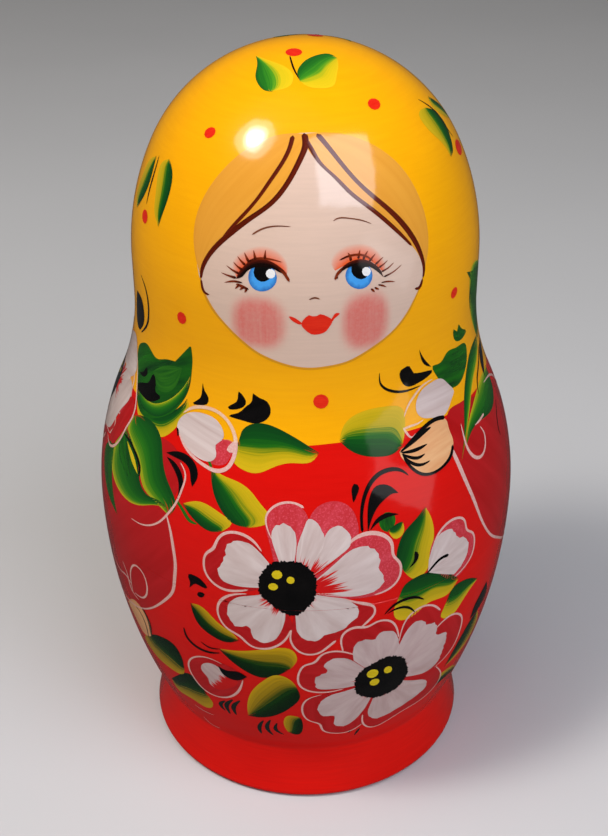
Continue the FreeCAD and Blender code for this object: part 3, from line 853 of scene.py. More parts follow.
LEFT_SHADOW_FLOWER = [
    ("fill", "deep_dusk", 1, [(-72, 88.5), (-82, 87), (-90, 82), (-92, 75), (-88, 67), (-91, 58), (-80, 42.8),
     (-71, 40.5), (-66.2, 41.3), (-47.9, 47.1), (-43.6, 50.9), (-35.2, 67.6), (-35.7, 72), (-36.8, 77.6),
     (-38.6, 82.7), (-35.5, 92.1), (-36, 97.3), (-39.7, 100.7), (-46.2, 101.4)]),
    *alike("line", "pale", 4, [
        [(-38.9, 82.8, 0.16), (-37.2, 78.9, 0.39), (-36, 74, 0.5), (-35.4, 69, 0.5), (-35.9, 64.6, 0.53),
         (-36.8, 60.2, 0.45), (-39.8, 55.6, 0.39), (-49.5, 46.3, 0.25), (-64, 40.3, 0.35), (-72, 39.6, 0.4),
         (-81, 42, 0.4), (-89.5, 48, 0.35), (-92.8, 57.5, 0.3), (-89, 67.3, 0.12)],
        [(-52.7, 75.1, 0.06), (-48.5, 75.6, 0.17), (-40.8, 80, 0.27), (-38.3, 83.3, 0.31), (-36, 87.3, 0.31),
         (-34.7, 91.5, 0.29), (-34.5, 95.4, 0.23), (-36.9, 97.8, 0.12)],
        [(-60.4, 56.5, 0.12), (-58.1, 53.4, 0.25), (-57.3, 48.6, 0.28), (-53.3, 46.9, 0.12)],
        [(-56.4, 47.7, 0.12), (-54.3, 58.1, 0.28), (-51.5, 60.3, 0.28), (-48.8, 59.7, 0.25), (-47.4, 56.5, 0.28),
         (-51.6, 49.1, 0.25), (-55.3, 48.5, 0.12)],
        [(-67.7, 57.1, 0.08), (-68.3, 51.7, 0.22), (-63.6, 50.9, 0.26), (-58.5, 51.9, 0.26), (-56.2, 50.8, 0.2)],
        [(-87.5, 66.5, 0.12), (-93.8, 74.5, 0.35), (-91.5, 82.8, 0.35), (-83, 88, 0.3), (-74, 89.5, 0.12)],
    ]),
]

RIGHT_SHADOW_FLOWER = [
    ("fill", "deep_dusk", 1, [(46.2, 106), (47.8, 107.7), (52.6, 107.9), (57.3, 107.5), (66.4, 105), (76, 103.8),
     (86, 99.5), (91, 91), (88, 83), (92, 74.5), (85, 59), (77, 56.3), (69, 58.8), (54, 71.5), (51.2, 77.4),
     (48.5, 84.1), (46.6, 90.7), (45.2, 96.8), (45.4, 101.4)]),
    *alike("line", "pale", 4, [
        [(43.9, 101.9, 0.19), (45.1, 97.7, 0.53), (48.2, 86.8, 0.59), (49.9, 82, 0.56), (51.7, 76.9, 0.46),
         (59.2, 65.4, 0.37), (65.6, 60.5, 0.37), (74.5, 55.4, 0.37), (82, 55.6, 0.4), (89, 59, 0.4), (93, 65.8, 0.35),
         (93.6, 74, 0.3), (88.5, 83.2, 0.12)],
        [(48.6, 84.4, 0.12), (50.2, 80.6, 0.31), (52.2, 76.9, 0.12)],
        [(51.6, 102.9, 0.12), (52.1, 94.2, 0.46), (54.3, 92, 0.46), (57.6, 91.4, 0.37), (61.2, 95.8, 0.28),
         (60, 98.5, 0.15)],
        [(64.6, 100.1, 0.31), (61, 99.8, 0.31), (57.6, 99.8, 0.09)],
        [(87.5, 82.5, 0.12), (92.8, 91, 0.35), (88, 99.7, 0.4), (79, 104.6, 0.3), (72, 105.9, 0.12)],
    ]),
]

LEFT_EDGE_FLOWER = [
    ("fill", "deep_dusk", 5, [(-64.1, 104.9), (-66.5, 104.7), (-68.3, 101.1), (-70.1, 97.6), (-71.5, 93),
     (-72.8, 89.3), (-70.5, 88.5), (-67.3, 90.6), (-62.7, 98.8), (-62.1, 102.3)]),
    ("fill", "rim_white", 6, [(-70.3, 107.9), (-73.4, 106.1), (-76.3, 102.1), (-78.8, 97.3), (-79.9, 93), (-80, 89.6),
     (-76.8, 89.8), (-70.6, 98.4), (-68.3, 101.5), (-67.1, 104.2)]),
    ("fill", "rim_white", 6, [(-86.5, 114.6), (-78.8, 118.9), (-73.3, 119.3), (-70.3, 115.9), (-68.1, 111.3),
     (-70, 109.2), (-81.2, 107.8), (-89.8, 108.9)]),
    ("line", "pale", 7, [(-71.2, 117.2, 0.12), (-68, 113.6, 0.25), (-64.7, 108.6, 0.3), (-61.5, 100.8, 0.34),
     (-63, 97, 0.34), (-64.9, 92.3, 0.34), (-72.5, 87.4, 0.3), (-75.8, 88.5, 0.12)]),
]

LEFT_SHOULDER_LEAVES = [
    ("leaf", "leaf", 1, [(-62.5, 106.2), (-54.7, 105.5), (-46.9, 107.6), (-41.2, 111.3), (-38.9, 114.2)],
     [(-59.4, 102.7), (-53.8, 101.5), (-46.5, 101.3), (-38.8, 109.4), (-37.7, 112.3)]),
    ("fill", "green", 2, [(-69.6, 118.1), (-66.4, 120.3), (-62, 121.5), (-55.3, 120), (-50.2, 121.4), (-40.2, 124),
     (-39.1, 126.6), (-38.4, 128.7), (-37.7, 126.2), (-37.8, 122), (-38.3, 117.6), (-40.6, 112.7), (-44.3, 108.6),
     (-50.1, 105.2), (-56.3, 103.4), (-61, 104.7), (-65.1, 108.6), (-68.7, 113.7)]),
    ("leaf", "deep_leaf", 3, [(-64.5, 109.1), (-60.9, 106), (-54.9, 105), (-49.4, 105.9), (-44.1, 109.5),
     (-40.1, 114.4), (-38.3, 120.3)], [(-53.1, 108.2), (-48.6, 110.1), (-40.5, 117)]),
    ("leaf", "moss", 3, [(-56.3, 116), (-51.5, 119), (-41.9, 121.5)], [(-52.1, 112.5), (-46.3, 113.9)]),
    ("fill", "black", 4, [(-60.7, 115.5), (-59.6, 114.5), (-60.7, 112.9), (-63.2, 112.2), (-65.2, 112.4),
     (-62.6, 113.5)]),
    ("fill", "black", 4, [(-55.8, 115.4), (-53.9, 113.5), (-53.4, 111.5), (-50.2, 111), (-52.4, 109.1),
     (-60.7, 107.8), (-65.1, 108.6), (-61.9, 110.7), (-57.7, 112.7)]),
    ("leaf", "deep_leaf", 2, [(-60.6, 102), (-50.2, 103.5), (-45.5, 100.8), (-43.3, 96.7), (-40.7, 92.5),
     (-37.8, 89.4), (-36.1, 86.4), (-37.9, 82.7)], [(-62, 96.6), (-56.2, 93.6), (-51.5, 90), (-48.6, 86.4),
     (-43.6, 84.6)]),
    ("leaf", "deep_leaf", 2, [(-62.4, 97.1), (-52.3, 90.7), (-50.1, 86.8), (-47, 85.1), (-42.2, 85.4), (-37.7, 84.1)],
     [(-67.7, 89.2), (-67.3, 84.2), (-55.7, 79.3), (-48.1, 81.3), (-41.3, 84.1)]),
    ("fill", "green", 3, [(-63.1, 94.9), (-58.5, 93.3), (-55.8, 90.2), (-55.5, 86), (-58.6, 86.5), (-63, 88.7),
     (-64.7, 91.4)]),
    ("line", "black", 4, [(-63.2, 95.1, 0.2), (-59.4, 94.9, 0.35), (-55.7, 93.8, 0.4), (-51.3, 90, 0.42),
     (-51.2, 88.1, 0.2)]),
    ("leaf", "yellow", 4, [(-60.4, 94.3), (-54.1, 91.4), (-51.8, 88.6)], [(-54.9, 90.1)]),
    ("leaf", "green", 2, [(-68, 90.5), (-64.6, 77.8), (-60.7, 71.6)], [(-76, 83), (-72, 76.5)]),
]

HALF_FLOWER = [
    ("fill", "dusk", 1, [(-40.8, 105.9), (-37.5, 103.2), (-29.7, 100.4), (-22.8, 100.9), (-21.4, 103.5),
     (-21.3, 106.8), (-27, 106.2), (-33.7, 106.7)]),
    ("fill", "petal", 5, [(-40.9, 106.2), (-40, 108.8), (-30.4, 111.9), (-27.1, 111.1), (-24.8, 106.6),
     (-26.7, 104.7), (-25.9, 102.8), (-26.9, 100.8), (-29.6, 100.3), (-39, 104.1)]),
    ("line", "pale", 6, [(-39.5, 110.1, 0.12), (-37.1, 111.9, 0.37), (-33.5, 113.3, 0.5), (-25.3, 112.7, 0.46),
     (-20.6, 107.2, 0.5), (-20.5, 103.4, 0.53), (-22.1, 100, 0.53), (-24.9, 98.7, 0.53), (-28.7, 99.1, 0.46),
     (-36.9, 102.4, 0.31), (-40.2, 105.3, 0.12)]),
    ("fill", "pale", 5, [(-20.4, 107.2), (-21.9, 106.3), (-22.8, 104.2), (-21.2, 104), (-20.1, 104.9)]),
    ("line", "black", 6, [(-40.9, 105.8, 0.2), (-40, 104.8, 0.35), (-39.9, 103.8, 0.1)]),
]

TWIN_STROKES = [
    ("leaf", "black", 4, [(-42.5, 98.5), (-38.4, 100.2), (-31.7, 98.6), (-30.5, 96), (-31.7, 92.8)], [(-38.5, 98.4),
     (-35.2, 98), (-33.3, 96.6), (-32.5, 94.4)]),
    ("leaf", "black", 4, [(-42, 97.6), (-39, 97.3), (-34.7, 93.2), (-35.9, 87.6)], [(-36.1, 92.2)]),
]

CHEST_LEAVES = [
    ("leaf", "leaf", 2, [(-19.1, 106.1), (-18.9, 110), (-15.7, 112.2), (-6.1, 110.9), (3.7, 105.7)], [(-20.6, 102.1),
     (-17.4, 100.3), (-13.4, 100), (-9.4, 101.7), (-3.9, 103.2), (1.9, 103.7)]),
    ("leaf", "leaf", 2, [(-27.1, 99.5), (-24.6, 92), (-22.1, 88.6), (-19.2, 86.3), (-15.1, 85.7)], [(-23.3, 98),
     (-18.5, 97.1), (-14.9, 95.4), (-11.7, 92.2), (-9, 88.3), (-11.2, 86.8)]),
    ("line", "moss", 3, [(-29, 101.9, 0.08), (-27.9, 100.6, 0.3), (-26.7, 99.1, 0.4)]),
    ("leaf", "leaf", 2, [(-34.1, 87.5), (-28.6, 83.6), (-25.3, 82.6), (-22, 83.2)], [(-29.3, 89.6), (-21.5, 87.7),
     (-19.4, 86.5)]),
    ("line", "moss", 3, [(-36.1, 87.8, 0.3), (-33.5, 85.7, 0.5), (-31.1, 83.7, 0.45), (-28.9, 83.5, 0.15)]),
    ("leaf", "leaf", 2, [(9.7, 108.4), (12.5, 105.8), (21.1, 102.9), (25.4, 102.9), (28.6, 104.3)], [(11.2, 112.1),
     (25.4, 115.1), (30.1, 113.6), (30.6, 109.5)]),
]

PEACH_BUD = [
    ("fill", "petal", 5, [(35.2, 111.3), (37.7, 116.2), (41.6, 117.2), (46.7, 117), (50.6, 113.8), (52.1, 111.7),
     (50.4, 110.3), (48.2, 108.6), (44.8, 107.3), (40.4, 108.3), (36.7, 109.5)]),
    ("line", "pale", 6, [(30.4, 111.1, 0.12), (32.2, 113.6, 0.28), (34.8, 115.6, 0.34), (38.2, 117.4, 0.31),
     (43.1, 118, 0.12)]),
    ("line", "pale", 5, [(29.5, 108.2, 0.28), (32, 108.4, 0.31), (34.9, 108.4, 0.25), (37.3, 108.8, 0.12)]),
    ("line", "pale", 5, [(29.6, 108.7, 0.19), (30.6, 106.9, 0.31), (32, 105.5, 0.22), (33.6, 106.2, 0.09)]),
    ("fill", "peach", 6, [(27.2, 102.8), (31.4, 104.4), (35.5, 106.3), (43.4, 107.1), (45.8, 106.2), (46, 103.6),
     (46.4, 100.5), (44.9, 97.7), (41.6, 96), (37.9, 94.8), (30.3, 97.5), (28.3, 100.2)]),
    *alike("line", "black", 7, [
        [(27.3, 102.7, 0.25), (30.3, 104, 0.45), (42.3, 107.5, 0.6), (45.6, 106.8, 0.6)],
        [(28, 103, 0.2), (31.7, 104.2, 0.45), (35.6, 105.5, 0.6), (39.4, 106.2, 0.25)],
        [(27.6, 102.6, 0.2), (30.5, 102.2, 0.45), (33.9, 102.2, 0.45), (36.8, 102.5, 0.12)],
        [(27.7, 102.3, 0.2), (30.4, 100.7, 0.42), (32.9, 100, 0.42), (35.3, 100.4, 0.12)],
        [(27.9, 101.9, 0.2), (30.1, 99.5, 0.42), (32.8, 98.1, 0.42), (36.5, 98.2, 0.12)],
        [(28.1, 101.3, 0.25), (30.1, 98.1, 0.4), (32.9, 95.7, 0.42), (41.1, 95.5, 0.42), (44.3, 97.2, 0.5),
         (45.8, 99.3, 0.4)],
    ]),
]

RIGHT_SHOULDER_LEAVES = [
    ("leaf", "deep_leaf", 2, [(79.5, 138.4), (79.9, 131.7), (80.3, 124.3), (77.3, 117.2)], [(65.7, 140.4),
     (65.6, 135.4), (69, 127.2)]),
    ("fill", "green", 2, [(75.9, 139.1), (66.3, 140.2), (62, 141.3), (65.5, 139.1), (66, 134.7), (75.1, 120.2),
     (78.3, 116.8), (82, 120.7), (78.9, 130.6)]),
    ("leaf", "deep_leaf", 3, [(78.4, 118), (66.6, 117.5), (61, 113.4), (56.7, 108.2), (53, 102.1), (47.3, 93.5)],
     [(73.3, 113.9), (64.2, 109.8), (58.9, 105.4), (53.9, 100.9)]),
    ("leaf", "deep_leaf", 2, [(81, 107.1), (80.8, 102.7), (76.6, 99.4), (69.6, 98.3), (55.3, 99.1), (50.5, 96.1)],
     [(71.2, 107.9), (58.9, 103.9), (54.1, 100.8)]),
    ("line", "black", 4, [(77.2, 115.2, 0.2), (73.3, 111.8, 0.35), (67.9, 108.8, 0.35), (65.7, 105.3, 0.1)]),
    ("leaf", "black", 4, [(83.5, 114.6), (82, 111), (78.1, 108.4), (75.3, 106.4)], [(76.7, 113.3), (75, 109.8)]),
    ("line", "black", 4, [(77.5, 97.9, 0.15), (73.5, 95.3, 0.3), (71.5, 91.7, 0.25), (71.9, 89.6, 0.08)]),
]

CHEST_CURLS = [
    ("line", "black", 4, [(14.3, 84.5, 0.35), (14.3, 89, 0.4), (20.4, 98.8, 0.6), (26.7, 98.3, 0.4),
     (28.8, 96.4, 0.1)]),
    ("leaf", "black", 4, [(15.7, 84.2), (15.9, 89), (16.9, 93.5), (18.8, 95.8), (22, 95.6), (25, 92.8)], [(19.4, 91),
     (21.6, 92.4), (23.1, 93)]),
    ("leaf", "black", 4, [(16.3, 84.6), (18.3, 87.5), (20.9, 88.4), (24.5, 87.3)], [(19.1, 86.6)]),
    ("fill", "black", 4, [(12.4, 92.6), (12.1, 94.7), (12.3, 96.6), (13.1, 97.4), (14, 96.8), (13.3, 94.1)]),
    ("fill", "green", 2, [(19.1, 87.4), (20.9, 88.6), (23.1, 87.6), (22.8, 84.4), (21.3, 83.3), (19.5, 84.3)]),
    ("leaf", "leaf", 2, [(21.2, 83.6), (24.2, 85), (25.4, 85.1)], [(23.3, 80.8), (25.1, 81.5)]),
]

RIGHT_BUD = [
    ("fill", "dusk", 4, [(32.9, 71.6), (34, 76.6), (41.1, 80.3), (44.4, 78.7), (46.2, 74.5), (48.7, 71.9), (49, 66.3),
     (42.5, 61.3), (36.4, 65.4)]),
    ("line", "pale", 5, [(33.6, 73.5, 0.12), (34.8, 76.6, 0.28), (40.7, 80.1, 0.34), (45.5, 77.6, 0.31),
     (46.2, 74.7, 0.31), (48.3, 72.8, 0.31), (49.5, 69, 0.31), (48.5, 65.3, 0.28), (42.1, 61.7, 0.19)]),
    ("fan", "rim_white", 6, [(32.4, 67.8)], [(32.6, 71.5), (35.6, 77.3), (38.4, 78.1), (41, 77), (42.4, 74.4),
     (44.9, 73), (46.8, 69.8), (44.2, 64.2), (41.6, 62.8)]),
    ("line", "black", 7, [(31.9, 67.3, 0.2), (34.2, 69.2, 0.42), (36.5, 70.4, 0.45), (39.3, 70.3, 0.5)]),
    ("leaf", "leaf", 3, [(32.5, 87.1), (29.2, 84.6), (25.8, 82.2), (23.9, 79.1), (23.2, 75.2), (25.2, 70.8)],
     [(34.1, 82.9), (34.4, 78.3), (33.4, 73.6), (32, 68.6), (29, 67.2)]),
    ("fill", "black", 4, [(28.4, 75.7), (29.3, 75.1), (29.2, 73), (27.8, 71.7), (26.6, 71.1), (28.1, 73.1)]),
    ("leaf", "leaf", 4, [(24.3, 63.1), (25.3, 66), (28.4, 67.6), (32.7, 67.7), (43.8, 60.4)], [(22.8, 58.9),
     (23.9, 55.4), (28.1, 54.5), (33.1, 57.2), (40.4, 57)]),
    ("line", "black", 5, [(20.2, 58.2, 0.12), (22.7, 60.6, 0.42), (25.8, 61.5, 0.5), (28.8, 61.1, 0.45),
     (31.8, 59.1, 0.15)]),
    ("line", "black", 5, [(20.9, 58.3, 0.1), (23.6, 59.2, 0.35), (26.6, 58.6, 0.42), (29.3, 55.7, 0.12)]),
    ("leaf", "leaf", 3, [(40.8, 53.9), (41.4, 57.8), (45.3, 58.4), (53.4, 54.4)], [(38.5, 49.8), (43.1, 47.5),
     (46.4, 49.9), (49.8, 52.8)]),
    ("leaf", "low_leaf", 2, [(59, 39), (54.8, 37.4), (51.8, 33.9), (47.1, 23.5)], [(62, 29.5), (58.6, 25.8),
     (53.1, 24.4)]),
    ("leaf", "low_leaf", 2, [(61.5, 12.6), (52.9, 14.9), (47.2, 14.9), (43.2, 12.9)], [(48.4, 20.7), (43.9, 19.8)]),
    ("leaf", "black", 3, [(60.9, 48.2), (57.8, 46), (55.2, 43.3), (54.3, 38.6)], [(63.1, 41), (59, 39)]),
]

UPPER_FLOWER = [
    ("fill", "deep_dusk", 3, [(-10.3, 70.2), (-13.4, 82.4), (-16.3, 83.9), (-21.9, 82.4), (-23.7, 78.6),
     (-25.9, 76.2), (-26.6, 73), (-25.9, 69.9), (-21.3, 66.6), (-18.1, 66.7)]),
    *alike("fill", "dusk", 3, [
        [(-5.8, 73.7), (-9.1, 81.9), (-10.1, 90.1), (-8.6, 92), (-2.9, 93.1), (-0.3, 91.1), (1, 86.4), (-0.1, 78.2)],
        [(-1.6, 73.9), (-1.1, 83.7), (0.7, 89), (2.8, 92.1), (9.1, 93.1), (11.9, 90.9), (13.1, 87.6), (13.1, 83.9),
         (9.7, 80.2), (3.4, 75.3)],
        [(-0.3, 70.9), (4.6, 75.2), (9.7, 80.5), (14.1, 84), (17.6, 83.8), (20.4, 81.9), (22.2, 79.3), (22.4, 76.3),
         (24, 73.5), (22.4, 67.2), (18.1, 65.5), (10.9, 65.7)],
    ]),
    ("fill", "deep_dusk", 3, [(-1.6, 64.6), (3.4, 66.5), (9.6, 65.6), (15, 63.3), (17.5, 61.1), (16.8, 57.9),
     (7.6, 51.9), (4, 48.2), (-0.2, 47.3), (-3.2, 49.7), (-3.4, 58.9)]),
    ("fill", "deep_dusk", 3, [(-5.6, 62.1), (-10.3, 65.2), (-15.2, 66.5), (-22.6, 62), (-22.2, 55.3), (-19.8, 52.5),
     (-16.6, 51.2), (-14.3, 48.8), (-7.6, 49.9), (-4.7, 53.9), (-3.6, 57.9)]),
    *alike("line", "pale", 4, [
        [(-11.1, 79.7, 0.12), (-13.2, 82.2, 0.34), (-19, 83.8, 0.37), (-21.7, 82.5, 0.37), (-23.2, 80.1, 0.37),
         (-24, 78.1, 0.43), (-25.8, 76.2, 0.34), (-26.6, 73, 0.31), (-25.9, 69.9, 0.31), (-21.3, 66.6, 0.37),
         (-18.1, 66.8, 0.37), (-14.6, 67.9, 0.19)],
        [(-8.6, 83.3, 0.12), (-10.1, 89.8, 0.25), (-6.8, 92.9, 0.31), (-2.4, 93, 0.28), (-0.5, 92, 0.34)],
        [(9.7, 80.2, 0.19), (11.5, 82.6, 0.37), (14.1, 83.8, 0.53), (17.3, 83.8, 0.56), (22, 79.6, 0.43),
         (22.3, 76.4, 0.37), (23.8, 74.1, 0.37), (23.2, 68.2, 0.31), (20.8, 66.4, 0.31), (17.1, 65.6, 0.19)],
        [(6.1, 66.6, 0.12), (9.6, 65.6, 0.25), (12.4, 64.3, 0.31), (15, 63.2, 0.5), (17.2, 61.7, 0.31),
         (17.4, 59.4, 0.31), (16, 57.4, 0.37), (14, 55.4, 0.19)],
        [(-3.7, 56.1, 0.12), (-4.1, 52.6, 0.25), (-0.2, 47.3, 0.31), (3, 47.6, 0.34), (5.5, 49.7, 0.37),
         (7.6, 51.9, 0.37)],
        [(-14.9, 66.6, 0.12), (-18.4, 65.6, 0.28), (-21.4, 63.5, 0.4), (-23.1, 60.1, 0.31), (-20.6, 53.3, 0.31),
         (-17.4, 51.5, 0.37), (-14.8, 48.9, 0.31), (-11.6, 48.3, 0.34), (-5.5, 52.4, 0.31), (-3.9, 56.1, 0.19)],
    ]),
    ("fan", "petal", 5, [(-4.3, 70.8)], [(-11, 69.2), (-15.9, 68.6), (-22.3, 70.4), (-22.5, 72.5), (-21.2, 75.2),
     (-20.7, 77.7), (-20.2, 80), (-14.7, 81.6), (-11.8, 79.6), (-9.5, 76.8), (-8.2, 73.8)]),
    ("fan", "petal", 5, [(-4, 69.3)], [(-6.8, 77.9), (-8.3, 82), (-8.6, 85.7), (-6.6, 87.7), (-4.3, 87.3), (-2.5, 81),
     (-3, 77.6)]),
    *alike("fan", "open_petal", 5, [
        ([(-2.6, 69.9)], [(-2.5, 77.6), (-2.1, 82.3), (-0.8, 86.1), (1, 89.3), (3.5, 86.9), (4.6, 83.3), (3.4, 79.8),
         (1.2, 77.1)]),
        ([(-0.1, 72.4)], [(0.9, 76.5), (3.2, 80.4), (4.7, 84.4), (6.8, 86.8), (9.1, 86.6), (11, 81.4), (8.1, 78.9),
         (4.1, 75.5)]),
        ([(-1.6, 68.7)], [(5.8, 74.8), (12.5, 80.5), (15.6, 80.4), (18.6, 75.8), (18.3, 73.5), (19.7, 70.5),
         (18.6, 67.6), (15, 66.3), (10.4, 66.4), (5.3, 67.9)]),
    ]),
    ("fan", "petal", 5, [(-3.1, 69.3)], [(2.9, 66.2), (5.8, 66.6), (12.7, 62.8), (13.3, 60.4), (11.3, 57.7), (8, 55),
     (4.7, 54.1), (3.2, 52.6), (0.6, 52.3), (-2.6, 57.2), (-1.6, 60.3)]),
    ("fan", "petal", 5, [(-4.8, 69.2)], [(-5.4, 59.4), (-6.8, 54.5), (-9.2, 51.3), (-11.8, 50.7), (-14.1, 52.9),
     (-15, 55.9), (-17.5, 54.9), (-19.8, 56.7), (-19.2, 63.3), (-15.5, 65.7), (-11.1, 65.4)]),
    ("heart", "black", 6, [(-11.9, 70), (-10, 75.6), (-7.5, 77.3), (-4, 77.7), (-1.1, 77.1), (1.2, 75.3), (2.4, 72.4),
     (-0.4, 62.7), (-3.4, 60.9), (-9.1, 64.4), (-11.3, 66.6)]),
    *alike("fill", "yellow", 7, [
        [(-5.9, 73.5), (-6.9, 72.3), (-7.8, 72.3), (-8.6, 73.6), (-7.6, 74.8), (-6.7, 74.8)],
        [(-2.9, 72.1), (-3.1, 71.5), (-3.7, 71.1), (-4.8, 71.6), (-4.2, 73.2), (-3, 72.7)],
        [(-7, 69.8), (-7.3, 69.2), (-8.7, 68.8), (-9.5, 69.8), (-8.6, 70.9), (-7.2, 70.5)],
    ]),
]

LOWER_FLOWER = [
    *alike("fill", "deep_dusk", 4, [
        [(17.3, 40.7), (13.4, 45.3), (6.6, 47.9), (3.8, 46.7), (1.7, 43.7), (-1.5, 40.9), (-1.3, 33.7), (1.5, 31.9),
         (6, 31.4), (15.2, 31.5)],
        [(18.8, 40.2), (12.1, 44), (9.5, 47.5), (8.9, 51.3), (9.8, 54.4), (12.4, 55.7), (15.8, 55.3), (18.2, 56.3),
         (21.3, 55.9), (25.2, 47.6), (25, 39.9)],
        [(25, 37.9), (25.2, 46.9), (28, 55.6), (31.2, 56.8), (34.9, 55.6), (38.3, 51.4), (39.3, 47.5), (42.3, 47.8),
         (46.5, 45.8), (48.8, 42.4), (49.3, 37.7), (48, 32.1), (44.5, 29), (39.6, 27), (31.6, 28.1)],
        [(27.8, 30.2), (35.4, 27.8), (42.4, 27.3), (45.4, 22.9), (46.8, 17.1), (44.7, 13.8), (33.1, 11.6),
         (27.4, 9.4), (23.1, 8.4), (19.2, 11.1), (17.5, 17.6), (19.3, 27)],
        [(21, 27.7), (10.8, 31.7), (3.8, 30), (0.4, 28.2), (-0.5, 20.3), (3.8, 15.8), (5.2, 12.2), (9.3, 9.4),
         (14.4, 9.6), (18.1, 12.4), (19.7, 19.4)],
    ]),
    *alike("line", "pale", 5, [
        [(13.4, 45.3, 0.19), (6.6, 47.9, 0.31), (3.8, 46.7, 0.31), (1.9, 44, 0.37), (-0.2, 43.1, 0.31),
         (-1.9, 40.4, 0.28), (-1.3, 33.7, 0.31), (6, 31.4, 0.31), (10.5, 32.2, 0.15)],
        [(9.6, 47.5, 0.19), (9.8, 54.4, 0.34), (12.4, 55.7, 0.43), (15.8, 55.3, 0.37), (18.2, 56.3, 0.31),
         (21.3, 55.9, 0.31), (25, 48.5, 0.19)],
        [(25.2, 46.9, 0.12), (28, 55.6, 0.28), (31.2, 56.8, 0.31), (34.9, 55.6, 0.31), (38, 52.3, 0.25)],
        [(36.4, 45, 0.12), (38.7, 46.8, 0.28), (42.3, 47.8, 0.34), (48.6, 43.1, 0.31), (49.3, 37.7, 0.31),
         (48, 32.1, 0.28), (44.5, 29, 0.22), (40.9, 27.8, 0.12)],
        [(41.8, 27.7, 0.12), (45.1, 23.6, 0.22), (47.3, 16.8, 0.25), (44.7, 13.8, 0.26), (33.1, 11.6, 0.26),
         (27.4, 9.4, 0.26), (23.1, 8.4, 0.26), (19.2, 11.1, 0.28), (17.5, 17.6, 0.19)],
        [(4.3, 30.4, 0.09), (0.6, 28.7, 0.22), (-1, 20.8, 0.25), (1.3, 17.3, 0.25), (3.8, 15.8, 0.31),
         (5, 12.3, 0.28), (9, 9.5, 0.26), (14.1, 9.4, 0.26), (18.1, 12.4, 0.12)],
    ]),
    *alike("fan", "low_petal", 6, [
        ([(21.1, 34.4)], [(15.3, 40), (8.8, 45.2), (5.9, 44.5), (4.7, 42.3), (5.7, 40.2), (3.1, 38.7), (2.3, 35.8),
         (2.9, 33.4), (6.8, 32.6), (11, 32.6), (14.4, 34)]),
        ([(21.1, 34.4)], [(12.6, 43.5), (13.4, 50.2), (15.8, 50.7), (17.8, 50), (18.8, 51.5), (20.9, 52.3),
         (23.6, 50.8), (25.2, 46.5), (25.4, 41.8), (22.5, 40.9)]),
        ([(21.1, 34.4)], [(25.8, 41.6), (25.8, 46.2), (27.3, 50.1), (29.5, 52.1), (31.8, 51.8), (34.1, 49.2),
         (36.2, 48.7), (37.7, 45.8), (38.3, 42.8), (41.1, 42.3), (42.8, 37.6), (42.5, 33.7), (41.6, 29.6),
         (38.4, 28.2), (33.1, 29.6), (29.7, 34.4)]),
        ([(21.1, 34.4)], [(30.1, 25.3), (33.1, 26.4), (36.4, 25.3), (39.5, 22.6), (40.1, 19.1), (36.6, 17),
         (27.4, 13.9), (23.1, 13.3), (19.2, 20.6), (21.6, 24.2)]),
        ([(21.1, 34.4)], [(17.5, 26.2), (18.3, 23.5), (17.1, 19.3), (14.4, 14.8), (11.3, 13.1), (8.5, 15.7),
         (8.3, 19.6), (5.8, 19.7), (3.5, 22.2), (6.6, 29.7), (10.9, 30.6), (14.5, 29.5)]),
    ]),
    ("heart", "black", 7, [(14.4, 37.8), (19.5, 41.6), (23, 42.1), (26.2, 40.8), (28.8, 37), (29.1, 28.6), (23.1, 25),
     (18.8, 25.7), (15.5, 27.8)]),
    *alike("fill", "yellow", 8, [
        [(20.1, 36.9), (19.4, 35), (18.3, 34.8), (16.7, 37.4), (17.3, 38.2), (18.4, 38.4)],
        [(24.3, 36), (24, 35.3), (23.2, 35.1), (21.8, 36.3), (22.1, 37.9), (22.8, 38.1)],
        [(20.8, 33), (20.3, 31.3), (19.4, 31.1), (17.9, 33.2), (18.4, 33.9), (20.2, 33.8)],
    ]),
]

